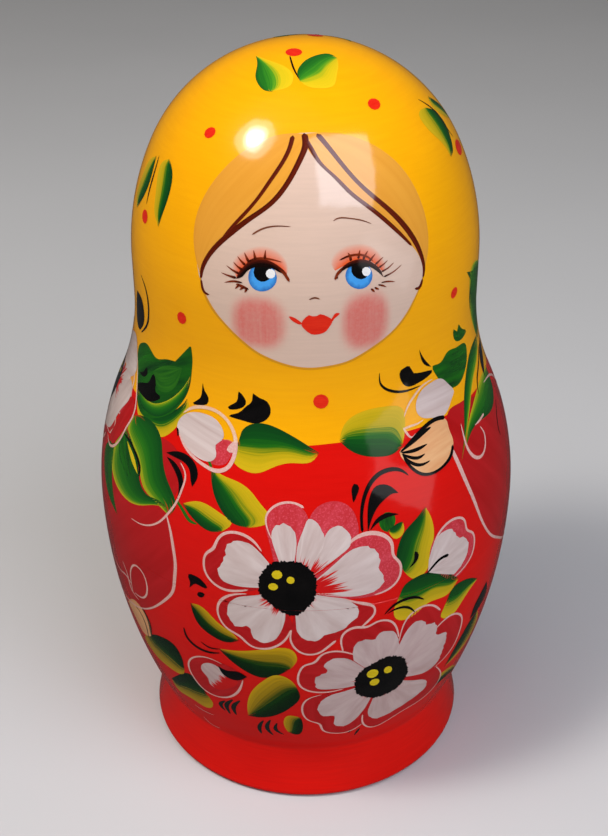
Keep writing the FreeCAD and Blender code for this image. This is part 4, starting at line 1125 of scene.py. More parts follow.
FOOT_LEAVES = [
    ("line", "black", 4, [(-34.7, 48.1, 0.2), (-34, 44.4, 0.45), (-31.1, 42.3, 0.5), (-27, 42.1, 0.4),
     (-23.8, 43.2, 0.1)]),
    ("line", "black", 4, [(-29.7, 45.3, 0.1), (-27.3, 44.1, 0.3), (-23.9, 44.7, 0.1)]),
    ("fill", "black", 4, [(-31.4, 66.9), (-31.2, 68), (-29.8, 68.2), (-27.7, 67.7), (-25.8, 65.3), (-27.9, 65.4),
     (-29.6, 65.5), (-31.3, 63.4), (-30.9, 65.5)]),
    ("fill", "black", 4, [(-28.9, 62), (-28, 63.4), (-26.7, 63.2), (-27.5, 61.8), (-28.4, 61.6)]),
    ("leaf", "low_leaf", 2, [(-31.4, 58.3), (-29, 51.2), (-25.6, 49), (-21.9, 48.1), (-17.8, 49.8)], [(-28.3, 58.6),
     (-25.2, 56.3), (-22.3, 53.8), (-19.6, 52.2)]),
    ("leaf", "low_leaf", 2, [(-24.2, 44.8), (-17, 38.3), (-12.8, 36.7), (-4.4, 41.3)], [(-17.8, 46), (-12.2, 47.8),
     (-3.5, 48.4), (-2.5, 45.2)]),
    ("leaf", "low_leaf", 3, [(-18.6, 16.7), (-14, 17.4), (-4.3, 24.7), (-1.9, 29.6), (-2.6, 33.2)], [(-17.8, 23.7),
     (-15.4, 30.6), (-11.8, 35.7), (-8, 38.5), (-4.5, 36.8)]),
    ("fill", "deep_dusk", 4, [(-36.2, 32.6), (-29.3, 39.2), (-24.9, 39.2), (-19.9, 37.8), (-18, 33.8), (-19.7, 29.1),
     (-27.8, 22.2), (-31.9, 22.8), (-34.9, 25.8)]),
    ("line", "pale", 5, [(-23.7, 38.8, 0.09), (-27.3, 39.5, 0.19), (-34.8, 35.3, 0.28), (-36.2, 30.8, 0.28),
     (-35.1, 26.6, 0.28), (-32.2, 23.1, 0.31), (-27.7, 22.5, 0.31), (-19.7, 29.1, 0.37), (-18, 34.2, 0.12)]),
    ("fill", "low_petal", 6, [(-31.1, 34.6), (-26.4, 37.5), (-24.4, 36.1), (-22.8, 33.7), (-19.6, 33.2),
     (-20.4, 31.1), (-23.3, 28.4), (-26.6, 26.4), (-29.2, 27.2), (-29.7, 30.5), (-30.9, 32.1)]),
    ("leaf", "black", 7, [(-25.1, 37.6), (-23.7, 34.2), (-20.8, 33.2), (-16.6, 35.9)], [(-22.5, 36.6),
     (-19.4, 37.3)]),
    ("leaf", "low_leaf", 2, [(-52.2, 34.5), (-45.1, 38.2), (-40.1, 38.1), (-38.3, 34.7), (-38.5, 29.4)],
     [(-58.2, 26.6), (-53.9, 24.3), (-47, 24.1), (-40.1, 25.7)]),
    ("leaf", "low_leaf", 2, [(-49.4, 17.1), (-41.7, 24.6), (-36.3, 27.7), (-33.6, 25.2), (-32.8, 20.8)],
     [(-48.1, 12.7), (-41.4, 13.2), (-34.1, 12.9), (-31.1, 18.9)]),
    ("leaf", "peach", 3, [(-64.9, 38.1), (-53.6, 44.4), (-50.8, 42.2), (-51.9, 33.9)], [(-61.3, 34.9),
     (-58.6, 31.3)]),
    ("line", "black", 4, [(-52.4, 44.9, 0.15), (-50.4, 41.6, 0.3), (-51.3, 34.7, 0.1)]),
    ("leaf", "low_leaf", 2, [(-5.8, 10.4), (-3.2, 9.4), (-1.2, 14.3), (-1.8, 19.2)], [(-7.2, 14.8), (-5.4, 20)]),
    # Two pale arcs just over the crease: a painted reflection of the white card that lies under the foot
    ("line", "pale", 4, [(-41.4, 9.9, 0.1), (-38.4, 9.4, 0.22), (-32.6, 9.9, 0.1)]),
    ("line", "pale", 4, [(-39.7, 4.4, 0.1), (-38, 2.2, 0.25), (-35.4, 1.5, 0.25), (-33, 1.9, 0.1)]),
    *alike("line", "night", 2, [
        [(-25.4, 21.5, 0.22), (-27.8, 18, 0.65), (-26.6, 15.7, 0.22)],
        [(-22.5, 23.4, 0.22), (-25.6, 18.7, 0.72), (-25.1, 14.7, 0.22)],
        [(-20.1, 23.9, 0.22), (-23.2, 18.8, 0.72), (-22.8, 15.3, 0.22)],
        [(-13.7, 15.8, 0.22), (-15.7, 10.6, 0.58), (-15.4, 7.5, 0.22)],
        [(-11.3, 16.8, 0.22), (-12.9, 11.2, 0.65), (-11.3, 7.7, 0.22)],
        [(-9.3, 15.5, 0.14), (-9.9, 11, 0.58), (-7.6, 8.9, 0.22)],
        [(13.9, 8.2, 0.14), (15, 10.1, 0.36), (15.6, 11.2, 0.14)],
        [(16.4, 5.9, 0.14), (17.3, 8.7, 0.36), (17.7, 10, 0.14)],
    ]),
    ("line", "black", 3, [(-58, 42.1, 0.15), (-54.8, 41.3, 0.25), (-53.3, 37.7, 0.3), (-54.6, 31.1, 0.15)]),
    ("line", "black", 3, [(-53.5, 44.7, 0.15), (-51.5, 42.6, 0.25), (-50.9, 38.9, 0.3), (-52.1, 33.2, 0.15)]),
]


# Where the cheeks glow: turn and run, and how far they reach sideways and upward in millimetres
CHEEKS = [(-14.2, 138.9, 8.0, 8.2), (18.3, 138.9, 7.2, 9.0)]

# The design as it lies on the outermost doll: what the front shows, and the same kind of work round the back
FRONT_SCARF = CROWN_SPRIG + SCARF_DOTS + LEFT_SPRIG + RIGHT_SPRIG + LEFT_CURL + HEM_DROPS + HEM_CURLS + RIGHT_GREENS
SIDES = (LEFT_SHADOW_FLOWER + RIGHT_SHADOW_FLOWER + LEFT_SHOULDER_LEAVES + HALF_FLOWER + TWIN_STROKES
         + RIGHT_SHOULDER_LEAVES + LEFT_EDGE_FLOWER)
FRONT_BODY = CHEST_LEAVES + PEACH_BUD + CHEST_CURLS + RIGHT_BUD + UPPER_FLOWER + LOWER_FLOWER + FOOT_LEAVES
# The side bud with the two leaves that lie next to it
BUD_SPRAY = RIGHT_BUD[:9]
SIDE_FLOWER = shifted(UPPER_FLOWER, turn=-84.0, run=31.0, about=(-4.5, 69.5), share=0.78)
BACK = (
    shifted(UPPER_FLOWER + CHEST_LEAVES, turn=180.0)
    + shifted(FOOT_LEAVES, turn=180.0)
    + shifted(LOWER_FLOWER, turn=180.0, mirror=8.0)
    + shifted(CROWN_SPRIG + LEFT_SPRIG + SCARF_DOTS, turn=180.0)
    + shifted(RIGHT_SPRIG, turn=110.0)
    + shifted(BUD_SPRAY, turn=70.0, run=-10.0)
    + shifted(BUD_SPRAY, turn=-165.0, run=-26.0)
    + shifted(LEFT_CURL + HEM_DROPS + HEM_CURLS, turn=180.0)
)
WHOLE_DESIGN = SIDES + FRONT_BODY + SIDE_FLOWER + BACK + FRONT_SCARF
FACE = FACE_OVAL + HAIR + LOCKS + EYES + BROWS_AND_NOSE + LIPS


# Finishes

def node(tree, kind, **settings):
    """A new node with its settings."""
    made = tree.nodes.new(kind)
    for setting, value in settings.items():
        setattr(made, setting, value)
    return made


def feed(tree, socket, source):
    """A socket gets a link from another socket, or a value of its own."""
    if isinstance(source, bpy.types.NodeSocket):
        tree.links.new(source, socket)
    elif isinstance(source, tuple) and len(source) == 3 and socket.type == "RGBA":
        socket.default_value = (*source, 1.0)
    else:
        socket.default_value = source


def sum_up(tree, operation, *sources):
    """A Math node."""
    made = node(tree, "ShaderNodeMath", operation=operation)
    for place, source in enumerate(sources):
        feed(tree, made.inputs[place], source)
    return made.outputs[0]


def remapped(tree, value, low, high, **settings):
    """A value spread out so that low becomes 0 and high becomes 1, and nothing goes past them."""
    made = node(tree, "ShaderNodeMapRange", **settings)
    feed(tree, made.inputs["Value"], value)
    made.inputs["From Min"].default_value = low
    made.inputs["From Max"].default_value = high
    return made.outputs["Result"]


def wavered(tree, value, streak, swing):
    """A value pushed up and down by the hairs of the brush, half of swing either way."""
    return sum_up(tree, "MULTIPLY_ADD", sum_up(tree, "SUBTRACT", streak, 0.5), swing, value)


def blend_colours(tree, share, first, second):
    """A Mix node between two colours."""
    made = node(tree, "ShaderNodeMix", data_type="RGBA")
    feed(tree, made.inputs[0], share)
    feed(tree, made.inputs[6], first)
    feed(tree, made.inputs[7], second)
    return made.outputs[2]


def colour_scale(tree, share, stops):
    """A Color Ramp of (place, colour) stops."""
    made = node(tree, "ShaderNodeValToRGB")
    feed(tree, made.inputs[0], share)
    elements = made.color_ramp.elements
    while len(elements) < len(stops):
        elements.new(0.5)
    for element, (place, colour) in zip(elements, stops):
        element.position = place
        element.color = (*colour, 1.0)
    return made.outputs[0]


def stroke_value(tree, title):
    """A value that each painted piece carries over its surface."""
    return node(tree, "ShaderNodeAttribute", attribute_type="GEOMETRY", attribute_name=title).outputs["Fac"]


def own_place(tree):
    """Places in the piece's own space, in metres."""
    return node(tree, "ShaderNodeTexCoord").outputs["Object"]


def fleck(tree, vector, scale, detail, roughness=0.5):
    """Noise at a scale per metre, or per unit of the vector."""
    made = node(tree, "ShaderNodeTexNoise")
    feed(tree, made.inputs["Vector"], vector)
    made.inputs["Scale"].default_value = scale
    made.inputs["Detail"].default_value = detail
    made.inputs["Roughness"].default_value = roughness
    return made.outputs[0]


def new_group(title, ins, outs):
    """An empty node group with named inputs and outputs."""
    group = bpy.data.node_groups.new(title, "ShaderNodeTree")
    for name, value in ins:
        group.interface.new_socket(name=name, in_out="INPUT", socket_type="NodeSocketFloat").default_value = value
    for name, kind in outs:
        group.interface.new_socket(name=name, in_out="OUTPUT", socket_type=kind)
    return group, node(group, "NodeGroupInput"), node(group, "NodeGroupOutput")


def varnish_ripple_group():
    """The thick varnish's uneven flow: slow waves, sags a few millimetres long, and a finer orange peel."""
    group, ins, outs = new_group("varnish_ripple", [("Flow", 1.0), ("Peel", 1.0)], [("Normal", "NodeSocketVector")])
    place = own_place(group)
    flow = sum_up(group, "MULTIPLY", fleck(group, place, scale=70.0, detail=2.0), ins.outputs["Flow"])
    peel = sum_up(group, "MULTIPLY", fleck(group, place, scale=900.0, detail=1.0), ins.outputs["Peel"])
    sag = sum_up(group, "MULTIPLY_ADD", fleck(group, place, scale=260.0, detail=3.0, roughness=0.6), 0.06, flow)
    height = sum_up(group, "MULTIPLY_ADD", peel, 0.02, sag)
    bump = node(group, "ShaderNodeBump")
    bump.inputs["Strength"].default_value = 1.0
    bump.inputs["Distance"].default_value = RIPPLE_DEPTH
    feed(group, bump.inputs["Height"], height)
    feed(group, outs.inputs["Normal"], bump.outputs["Normal"])
    return group


def brush_streak_group():
    """Hairs of the brush: noise drawn out along the stroke, another for every stroke."""
    group, ins, outs = new_group("brush_streaks", [("Hairs", 9.0), ("Reach", 1.2)], [("Streak", "NodeSocketFloat")])
    across = sum_up(group, "MULTIPLY", stroke_value(group, "across"), ins.outputs["Hairs"])
    along = sum_up(group, "MULTIPLY", stroke_value(group, "along"), ins.outputs["Reach"])
    hue = sum_up(group, "MULTIPLY", stroke_value(group, "hue"), 37.0)
    joined_up = node(group, "ShaderNodeCombineXYZ")
    for place, source in enumerate((across, along, hue)):
        feed(group, joined_up.inputs[place], source)
    noise = fleck(group, joined_up.outputs[0], scale=1.0, detail=3.0, roughness=0.6)
    feed(group, outs.inputs["Streak"], remapped(group, noise, 0.3, 0.7))
    return group


def linden_grain_group():
    """Grain of turned linden: thin lines drawn out up the doll, in slow bands of light and dark."""
    group, ins, outs = new_group("linden_grain", [("Fineness", 1.0)], [("Grain", "NodeSocketFloat")])
    stretch = node(group, "ShaderNodeMapping")
    feed(group, stretch.inputs["Vector"], own_place(group))
    stretch.inputs["Scale"].default_value = (1.0, 1.0, 0.06)
    thin = fleck(group, stretch.outputs[0], scale=900.0, detail=3.0, roughness=0.65)
    bands = fleck(group, stretch.outputs[0], scale=130.0, detail=2.0)
    mixed = sum_up(group, "MULTIPLY_ADD", thin, 0.65, sum_up(group, "MULTIPLY", bands, 0.35))
    grain = sum_up(group, "MULTIPLY", remapped(group, mixed, 0.3, 0.7), ins.outputs["Fineness"])
    feed(group, outs.inputs["Grain"], grain)
    return group


def lathe_group():
    """Faint rings of the lathe and the round brush: noise that changes fast up the doll and slowly round it."""
    group, ins, outs = new_group("lathe_rings", [("Rings", 1.0)], [("Ring", "NodeSocketFloat")])
    squeeze = node(group, "ShaderNodeMapping")
    feed(group, squeeze.inputs["Vector"], own_place(group))
    squeeze.inputs["Scale"].default_value = (0.05, 0.05, 1.0)
    rings = fleck(group, squeeze.outputs[0], scale=1600.0, detail=3.0, roughness=0.6)
    feed(group, outs.inputs["Ring"], sum_up(group, "MULTIPLY", rings, ins.outputs["Rings"]))
    return group


# How deep the varnish ripples and the bare wood's grain lie, in metres, and how rough each surface is
RIPPLE_DEPTH = 0.00022
GRAIN_DEPTH = 0.00008
VARNISH_ROUGHNESS = 0.09
FACE_ROUGHNESS = 0.1
IRIS_ROUGHNESS = 0.08
WOOD_ROUGHNESS = 0.62
VARNISH_IOR = 1.58
COAT_WEIGHT = 0.08
COAT_ROUGHNESS = 0.32
GROUPS = {"ripple": varnish_ripple_group(), "streaks": brush_streak_group(), "grain": linden_grain_group(),
          "rings": lathe_group()}


def placed_group(tree, title, output, **values):
    """One of the groups placed in a material with its own values."""
    made = node(tree, "ShaderNodeGroup", node_tree=GROUPS[title])
    for name, value in values.items():
        feed(tree, made.inputs[name], value)
    return made.outputs[output]


def start_finish(title, roughness=VARNISH_ROUGHNESS, varnished=True):
    """A material, bare or under a thin second coat of varnish; returns it, its tree and its shader."""
    material = bpy.data.materials.new(title)
    material.use_nodes = True
    tree = material.node_tree
    shader = tree.nodes["Principled BSDF"]
    shader.inputs["Roughness"].default_value = roughness
    shader.inputs["IOR"].default_value = VARNISH_IOR
    if varnished:
        shader.inputs["Coat Weight"].default_value = COAT_WEIGHT
        shader.inputs["Coat Roughness"].default_value = COAT_ROUGHNESS
        feed(tree, shader.inputs["Normal"], placed_group(tree, "ripple", "Normal", Flow=1.0, Peel=1.0))
    return material, tree, shader


def by_ground(tree, on_scarf, on_red):
    """A colour that lets the coat under it through, so it differs on the scarf and on the red."""
    return blend_colours(tree, stroke_value(tree, "ground"), on_scarf, on_red)


def coat_finish(title, dark, light):
    """A colour that covers the turned wood: two close shades in lathe rings, under varnish."""
    material, tree, shader = start_finish(title)
    rings = placed_group(tree, "rings", "Ring", Rings=1.0)
    cloud = fleck(tree, own_place(tree), scale=45.0, detail=2.0)
    share = sum_up(tree, "MULTIPLY_ADD", rings, 0.6, sum_up(tree, "MULTIPLY", cloud, 0.4))
    feed(tree, shader.inputs["Base Color"], colour_scale(tree, share, [(0.32, dark), (0.68, light)]))
    return material


def stroke_finish(title, dark, light, hairs=9.0):
    """A brush stroke in one colour: two shades in brush streaks, under varnish."""
    material, tree, shader = start_finish(title)
    streak = placed_group(tree, "streaks", "Streak", Hairs=hairs)
    feed(tree, shader.inputs["Base Color"], blend_colours(tree, streak, dark, light))
    return material


def leaf_finish(title, stops, blur=0.18):
    """A double-loaded stroke: one edge dark, one light, with streaks where they meet and hairs at its ends."""
    material, tree, shader = start_finish(title)
    streak = placed_group(tree, "streaks", "Streak", Hairs=24.0, Reach=0.8)
    share = wavered(tree, stroke_value(tree, "across"), streak, blur)
    hairs = placed_group(tree, "streaks", "Streak", Hairs=19.0, Reach=0.5)
    along = stroke_value(tree, "along")
    ends = sum_up(tree, "MINIMUM", along, sum_up(tree, "SUBTRACT", 1.0, along))
    cover = remapped(tree, wavered(tree, ends, hairs, 0.3), -0.01, 0.045)
    bare = by_ground(tree, SCARF_YELLOW[1], BODY_RED[0])
    feed(tree, shader.inputs["Base Color"], blend_colours(tree, cover, bare, colour_scale(tree, share, stops)))
    return material


def petal_finish(title, start, white, thin_white):
    """A petal: solid white from its rim, down to the share start of its length, where it ends in single hairs."""
    material, tree, shader = start_finish(title)
    hairs = placed_group(tree, "streaks", "Streak", Hairs=30.0, Reach=0.5)
    begin = sum_up(tree, "MULTIPLY_ADD", stroke_value(tree, "hue"), -0.14, stroke_value(tree, "along"))
    cover = remapped(tree, wavered(tree, begin, hairs, start), start - 0.03, start + 0.05,
                     interpolation_type="SMOOTHSTEP")
    wash = placed_group(tree, "streaks", "Streak", Hairs=9.0, Reach=1.4)
    bare = by_ground(tree, SCARF_YELLOW[0], HEART_RED)
    solid = blend_colours(tree, wash, white, thin_white)
    feed(tree, shader.inputs["Base Color"], blend_colours(tree, cover, bare, solid))
    return material


def dusk_finish(title, scarf_colours, red_colours):
    """Thin dry paint that lets the coat under it through, in streaks and specks."""
    material, tree, shader = start_finish(title)
    streak = placed_group(tree, "streaks", "Streak", Hairs=12.0)
    dark = by_ground(tree, scarf_colours[0], red_colours[0])
    light = by_ground(tree, scarf_colours[1], red_colours[1])
    specks = remapped(tree, fleck(tree, own_place(tree), scale=2200.0, detail=2.0), 0.5, 0.75)
    share = sum_up(tree, "MULTIPLY_ADD", streak, 0.55, specks)
    feed(tree, shader.inputs["Base Color"], blend_colours(tree, share, dark, light))
    return material


def face_finish(skin_dark, skin, blush, lid):
    """The face: bare linden under varnish; the rosy cheeks and lids are rubbed in and show its rings and grain."""
    material, tree, shader = start_finish("face_under_varnish", FACE_ROUGHNESS)
    rings = placed_group(tree, "rings", "Ring", Rings=1.0)
    skin_colour = colour_scale(tree, rings, [(0.3, skin_dark), (0.65, skin)])
    grain = placed_group(tree, "grain", "Grain", Fineness=1.0)
    mottle = fleck(tree, own_place(tree), scale=1300.0, detail=3.0)
    weave = sum_up(tree, "MULTIPLY_ADD", grain, 0.3, sum_up(tree, "MULTIPLY", mottle, 0.42))
    weave = sum_up(tree, "MULTIPLY_ADD", rings, 0.28, weave)
    cheek_share = sum_up(tree, "MULTIPLY", stroke_value(tree, "blush"),
                         sum_up(tree, "MULTIPLY_ADD", weave, 0.72, 0.36))
    lid_share = sum_up(tree, "MULTIPLY", stroke_value(tree, "lid"), sum_up(tree, "MULTIPLY_ADD", weave, 0.4, 0.85))
    rosy = blend_colours(tree, cheek_share, skin_colour, blush)
    feed(tree, shader.inputs["Base Color"], blend_colours(tree, lid_share, rosy, lid))
    return material


def tip_finish(title, direction, stops, hairs=6.0, roughness=VARNISH_ROUGHNESS):
    """A patch whose colour changes on its way, or from one edge to the other, with uneven hairs."""
    material, tree, shader = start_finish(title, roughness)
    streak = placed_group(tree, "streaks", "Streak", Hairs=hairs)
    share = wavered(tree, stroke_value(tree, direction), streak, 0.2)
    feed(tree, shader.inputs["Base Color"], colour_scale(tree, share, stops))
    return material


def wood_finish(dark, light):
    """Bare turned linden inside and underneath: fine grain, faint lathe marks, no varnish."""
    material, tree, shader = start_finish("bare_linden", WOOD_ROUGHNESS, varnished=False)
    grain = placed_group(tree, "grain", "Grain", Fineness=1.0)
    rings = placed_group(tree, "rings", "Ring", Rings=1.0)
    share = sum_up(tree, "MULTIPLY_ADD", grain, 0.6, sum_up(tree, "MULTIPLY", rings, 0.4))
    feed(tree, shader.inputs["Base Color"], colour_scale(tree, share, [(0.25, dark), (0.75, light)]))
    bump = node(tree, "ShaderNodeBump")
    bump.inputs["Distance"].default_value = GRAIN_DEPTH
    feed(tree, bump.inputs["Height"], share)
    feed(tree, shader.inputs["Normal"], bump.outputs["Normal"])
    return material


# Colours, as (dark, light) pairs; a leaf's stops run from its dark edge to its light one
SCARF_YELLOW = ((0.92, 0.385, 0.0005), (0.97, 0.425, 0.001))
BODY_RED = ((0.66, 0.003, 0.001), (0.72, 0.0045, 0.002))
FOOT_RED = ((0.68, 0.003, 0.0005), (0.78, 0.005, 0.001))
HEART_RED = (0.60, 0.006, 0.006)
LINDEN = ((0.52, 0.36, 0.20), (0.72, 0.55, 0.36))
WHITE = ((0.69, 0.57, 0.54), (0.56, 0.42, 0.39))
# Petals near the foot: a darker, pinker white, darker as painted shade on the low part of the doll
SHADED_PINKISH_WHITE = ((0.61, 0.46, 0.44), (0.49, 0.34, 0.32))
LEAF_STOPS = [(0.0, (0.003, 0.045, 0.008)), (0.30, (0.004, 0.075, 0.008)), (0.44, (0.012, 0.13, 0.006)),
              (0.53, (0.14, 0.22, 0.005)), (0.63, (0.46, 0.35, 0.005)), (1.0, (0.66, 0.43, 0.008))]
# Leaves near the foot: the leaf's shades made darker, as painted shade on the low part of the doll
SHADED_LEAF_STOPS = [(0.0, (0.001, 0.014, 0.003)), (0.30, (0.0015, 0.024, 0.003)), (0.44, (0.005, 0.045, 0.002)),
             (0.53, (0.07, 0.085, 0.002)), (0.63, (0.25, 0.165, 0.002)), (1.0, (0.58, 0.34, 0.003))]
CROWN_STOPS = [(0.0, (0.008, 0.10, 0.010)), (0.30, (0.02, 0.18, 0.012)), (0.44, (0.06, 0.28, 0.012)),
               (0.53, (0.25, 0.38, 0.010)), (0.63, (0.62, 0.48, 0.008)), (1.0, (0.80, 0.52, 0.008))]
SHOULDER_STOPS = [(0.0, (0.004, 0.06, 0.009)), (0.40, (0.008, 0.11, 0.009)), (0.66, (0.022, 0.17, 0.008)),
                  (0.84, (0.12, 0.28, 0.008)), (1.0, (0.52, 0.46, 0.010))]
LASH_STOPS = [(0.1, (0.036, 0.003, 0.0004)), (0.5, (0.20, 0.022, 0.003))]
LID_LINE_STOPS = [(0.0, (0.13, 0.010, 0.002)), (0.25, (0.05, 0.004, 0.001)), (0.6, (0.006, 0.001, 0.0005))]
IRIS_STOPS = [(0.68, (0.06, 0.34, 0.80)), (0.98, (0.03, 0.17, 0.50))]
DUSK_ON_SCARF = ((0.80, 0.30, 0.03), (0.85, 0.40, 0.06))
DUSK_ON_RED = ((0.53, 0.024, 0.030), (0.68, 0.07, 0.10))
PALE_ON_SCARF = ((0.80, 0.45, 0.25), (0.85, 0.60, 0.45))
PALE_ON_RED = ((0.70, 0.36, 0.31), (0.78, 0.50, 0.46))

scarf_coat = coat_finish("scarf_yellow", *SCARF_YELLOW)
body_coat = coat_finish("body_red", *BODY_RED)
foot_coat = coat_finish("foot_red", *FOOT_RED)
bare_linden = wood_finish(*LINDEN)
# The low paints are darker for the strokes near the foot, as painted shade on the low part of the doll, and the
# crown's leaves lighter
paints = {
    "red_dot": stroke_finish("dot_red", (0.70, 0.012, 0.004), (0.82, 0.03, 0.008)),
    "black": stroke_finish("line_black", (0.001, 0.0008, 0.001), (0.004, 0.003, 0.003), 5.0),
    "leaf": leaf_finish("leaf_green_to_yellow", LEAF_STOPS),
    "low_leaf": leaf_finish("leaf_shaded_green_to_ochre", SHADED_LEAF_STOPS),
    "crown_leaf": leaf_finish("leaf_light_green_to_yellow", CROWN_STOPS),
    "deep_leaf": leaf_finish("leaf_deep_green", SHOULDER_STOPS, 0.15),
    "green": stroke_finish("leaf_dark_green", (0.004, 0.045, 0.008), (0.013, 0.15, 0.006)),
    "moss": stroke_finish("leaf_moss_green", (0.008, 0.09, 0.008), (0.028, 0.17, 0.009)),
    "night": stroke_finish("leaf_night_green", (0.004, 0.007, 0.009), (0.014, 0.022, 0.016)),
    "yellow": stroke_finish("stroke_yellow", (0.60, 0.42, 0.004), (0.75, 0.58, 0.012)),
    "petal": petal_finish("petal_white", 0.24, *WHITE),
    "open_petal": petal_finish("petal_white_open", 0.34, *WHITE),
    "low_petal": petal_finish("petal_shaded_pinkish_white", 0.24, *SHADED_PINKISH_WHITE),
    "rim_white": stroke_finish("petal_rim_white", WHITE[1], WHITE[0]),
    "dusk": dusk_finish("petal_dusk", DUSK_ON_SCARF, DUSK_ON_RED),
    "deep_dusk": stroke_finish("shadow_flower_red", (0.42, 0.005, 0.006), (0.52, 0.010, 0.013), 12.0),
    "pale": dusk_finish("petal_pale", PALE_ON_SCARF, PALE_ON_RED),
    "peach": stroke_finish("bud_peach", (0.72, 0.33, 0.14), (0.80, 0.45, 0.22)),
    "face": face_finish((0.665, 0.475, 0.375), (0.70, 0.50, 0.395), (0.68, 0.10, 0.085), (0.80, 0.10, 0.02)),
    "hair": stroke_finish("hair_amber", (0.72, 0.30, 0.028), (0.77, 0.34, 0.038), 8.0),
    "brown": stroke_finish("hair_brown", (0.055, 0.003, 0.0005), (0.15, 0.014, 0.002), 7.0),
    "edge": stroke_finish("face_edge_amber", (0.62, 0.25, 0.008), (0.74, 0.32, 0.012), 5.0),
    "blue": tip_finish("iris_blue", "along", IRIS_STOPS, 14.0, IRIS_ROUGHNESS),
    "white": stroke_finish("eye_light_white", (0.80, 0.78, 0.76), (0.88, 0.87, 0.86)),
    "lash": tip_finish("lash_black_to_brown", "along", LASH_STOPS),
    "lid_line": tip_finish("lid_line_brown_to_black", "across", LID_LINE_STOPS),
    "brow": stroke_finish("brow_brown", (0.09, 0.018, 0.006), (0.24, 0.07, 0.03), 4.0),
    "lips": stroke_finish("lip_red", (0.70, 0.012, 0.004), (0.80, 0.03, 0.008)),
}


# Dolls

# How finely the outermost doll is cut and how finely the others are: steps round, and millimetres of a cell
AROUND, AROUND_SMALL = 256, 160
CELL, CELL_SMALL, STEP_SMALL = 1.0, 1.35, 1.5
drawing = Outline(doll_sizes(0))
for number, doll in enumerate(HOLLOW_DOLLS + ["innermost"]):
    d = doll_sizes(number)
    line = Outline(d)
    around = AROUND if number == 0 else AROUND_SMALL
    step = CELL if number == 0 else STEP_SMALL * d.girth_share ** 0.5
    cell = CELL if number == 0 else CELL_SMALL
    if doll == "innermost":
        wood = solid_wood("innermost_wood", d, line, around, step, [foot_coat, body_coat, scarf_coat, bare_linden])
        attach(wood, "innermost_doll")
        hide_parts("innermost_doll")
        paint_piece("innermost_painting", d, drawing, line, WHOLE_DESIGN, cell, paints, None, "innermost_doll")
        paint_piece("innermost_face", d, drawing, line, FACE, cell, paints, None, "innermost_doll")
        continue
    lower = lower_wood(doll + "_lower_wood", d, line, around, step, [foot_coat, body_coat, bare_linden])
    upper = upper_wood(doll + "_upper_wood", d, line, around, step, [body_coat, scarf_coat, bare_linden])
    for wood, node_name, slot in ((lower, doll + "_lower_half", "painted_body"),
                                  (upper, doll + "_upper_half", "painted_scarf")):
        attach(wood, node_name)
        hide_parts(node_name)
    paint_piece(doll + "_lower_painting", d, drawing, line, WHOLE_DESIGN, cell, paints, "below", doll + "_lower_half")
    paint_piece(doll + "_upper_painting", d, drawing, line, WHOLE_DESIGN, cell, paints, "above", doll + "_upper_half")
    paint_piece(doll + "_face", d, drawing, line, FACE, cell, paints, "above", doll + "_upper_half")


# Floor, lights and camera

FLOOR_REACH = 6.0
FLOOR_GAP = 0.0002
FLOOR_ROUGHNESS = 0.75
FLOOR_STOPS = [(0.3, (0.55, 0.55, 0.56)), (0.7, (0.59, 0.59, 0.60))]
WORLD_LIGHT = 0.045
HEAD = (0.0, -0.03, 0.185)
CHEST = (0.035, -0.045, 0.115)
MIDDLE = (0.0, 0.0, 0.12)


def floor_finish():
    """Pale matt card with a faint unevenness."""
    material = bpy.data.materials.new("floor_pale")
    material.use_nodes = True
    tree = material.node_tree
    shader = tree.nodes["Principled BSDF"]
    shader.inputs["Roughness"].default_value = FLOOR_ROUGHNESS
    cloud = fleck(tree, own_place(tree), scale=3.0, detail=3.0)
    feed(tree, shader.inputs["Base Color"], colour_scale(tree, cloud, FLOOR_STOPS))
    return material


def softbox(name, about, turn, rise, distance, wide, high, power, colour=(1.0, 1.0, 1.0), lean=0.0):
    """A soft light that faces a spot from a turn and a rise over the floor, in degrees, and may lean sideways."""
    lamp = bpy.data.lights.new(name, "AREA")
    lamp.shape = "RECTANGLE"
    lamp.size, lamp.size_y, lamp.energy, lamp.color = wide, high, power, colour
    lit = bpy.data.objects.new(name, lamp)
    turn, rise = math.radians(turn), math.radians(rise)
    aim = np.array([math.sin(turn) * math.cos(rise), -math.cos(turn) * math.cos(rise), math.sin(rise)])
    lit.location = tuple(np.array(about) + aim * distance)
    facing = Matrix.Rotation(turn, 4, "Z") @ Matrix.Rotation(math.pi / 2 - rise, 4, "X")
    lit.rotation_euler = (facing @ Matrix.Rotation(math.radians(lean), 4, "Z")).to_euler()
    bpy.context.scene.collection.objects.link(lit)
    return lit


floor_mesh = bpy.data.meshes.new("floor")
corners = [(-FLOOR_REACH, -FLOOR_REACH), (FLOOR_REACH, -FLOOR_REACH), (FLOOR_REACH, FLOOR_REACH),
           (-FLOOR_REACH, FLOOR_REACH)]
floor_mesh.from_pydata([(x, y, -FLOOR_GAP) for x, y in corners], [], [(0, 1, 2, 3)])
floor_mesh.materials.append(floor_finish())
floor = bpy.data.objects.new("floor", floor_mesh)
bpy.context.scene.collection.objects.link(floor)

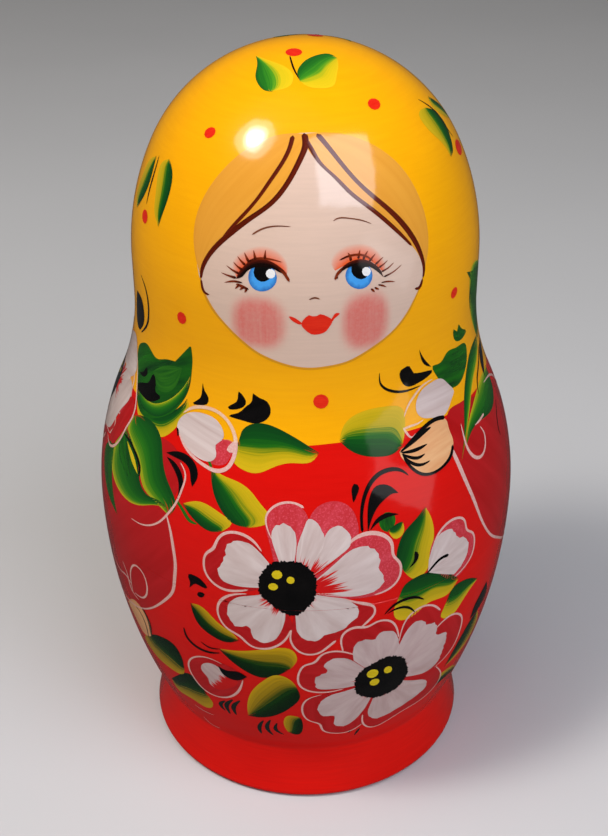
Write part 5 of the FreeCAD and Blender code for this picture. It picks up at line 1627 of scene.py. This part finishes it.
world = bpy.data.worlds.new("studio")
bpy.context.scene.world = world
world.use_nodes = True
world.node_tree.nodes["Background"].inputs["Color"].default_value = (1.0, 1.0, 1.0, 1.0)
world.node_tree.nodes["Background"].inputs["Strength"].default_value = WORLD_LIGHT
bpy.context.scene.view_settings.view_transform = "Standard"

# Three round lights, one in another, make the hot spot; the panel on the right shines on forehead and chest
for title, wide, power in (("softbox_left", 0.22, 3.2), ("softbox_left_middle", 0.32, 3.0),
                           ("softbox_left_halo", 0.5, 2.4)):
    flash = softbox(title, HEAD, turn=-63.0, rise=56.0, distance=1.1, wide=wide, high=wide, power=power,
                    colour=(1.0, 0.96, 0.90))
    flash.data.shape = "DISK"
softbox("panel_right", HEAD, turn=37.0, rise=43.0, distance=0.75, wide=0.54, high=0.62, power=3.9,
        colour=(0.88, 0.94, 1.08), lean=-16.0)
softbox("panel_low", CHEST, turn=52.0, rise=0.0, distance=0.6, wide=0.42, high=0.15, power=0.13, lean=-27.0)
fill = softbox("high_fill", MIDDLE, turn=-55.0, rise=70.0, distance=1.5, wide=1.2, high=1.2, power=7.6,
               colour=(1.0, 0.95, 0.88))
side_fill = softbox("side_fill", MIDDLE, turn=58.0, rise=18.0, distance=1.5, wide=1.0, high=1.0, power=3.6)
fill.visible_glossy = side_fill.visible_glossy = floor.visible_glossy = False

FOCAL_PIXELS = 1378.0
PICTURE_HIGH = 836
CAMERA_PLACE = (0.0, -0.3330, 0.3005)
CAMERA_PITCH = math.radians(31.0)
CAMERA_ROLL = math.radians(0.178)
SIDE_SHIFT = 1.85
eye = bpy.data.cameras.new("camera")
eye.sensor_width = 36.0
eye.lens = FOCAL_PIXELS / PICTURE_HIGH * eye.sensor_width
eye.shift_x = -SIDE_SHIFT / PICTURE_HIGH
eye.clip_start = 0.01
camera = bpy.data.objects.new("camera", eye)
looking = Matrix.Rotation(math.pi / 2 - CAMERA_PITCH, 4, "X") @ Matrix.Rotation(-CAMERA_ROLL, 4, "Z")
camera.rotation_euler = looking.to_euler()
camera.location = CAMERA_PLACE
bpy.context.scene.collection.objects.link(camera)
bpy.context.scene.camera = camera
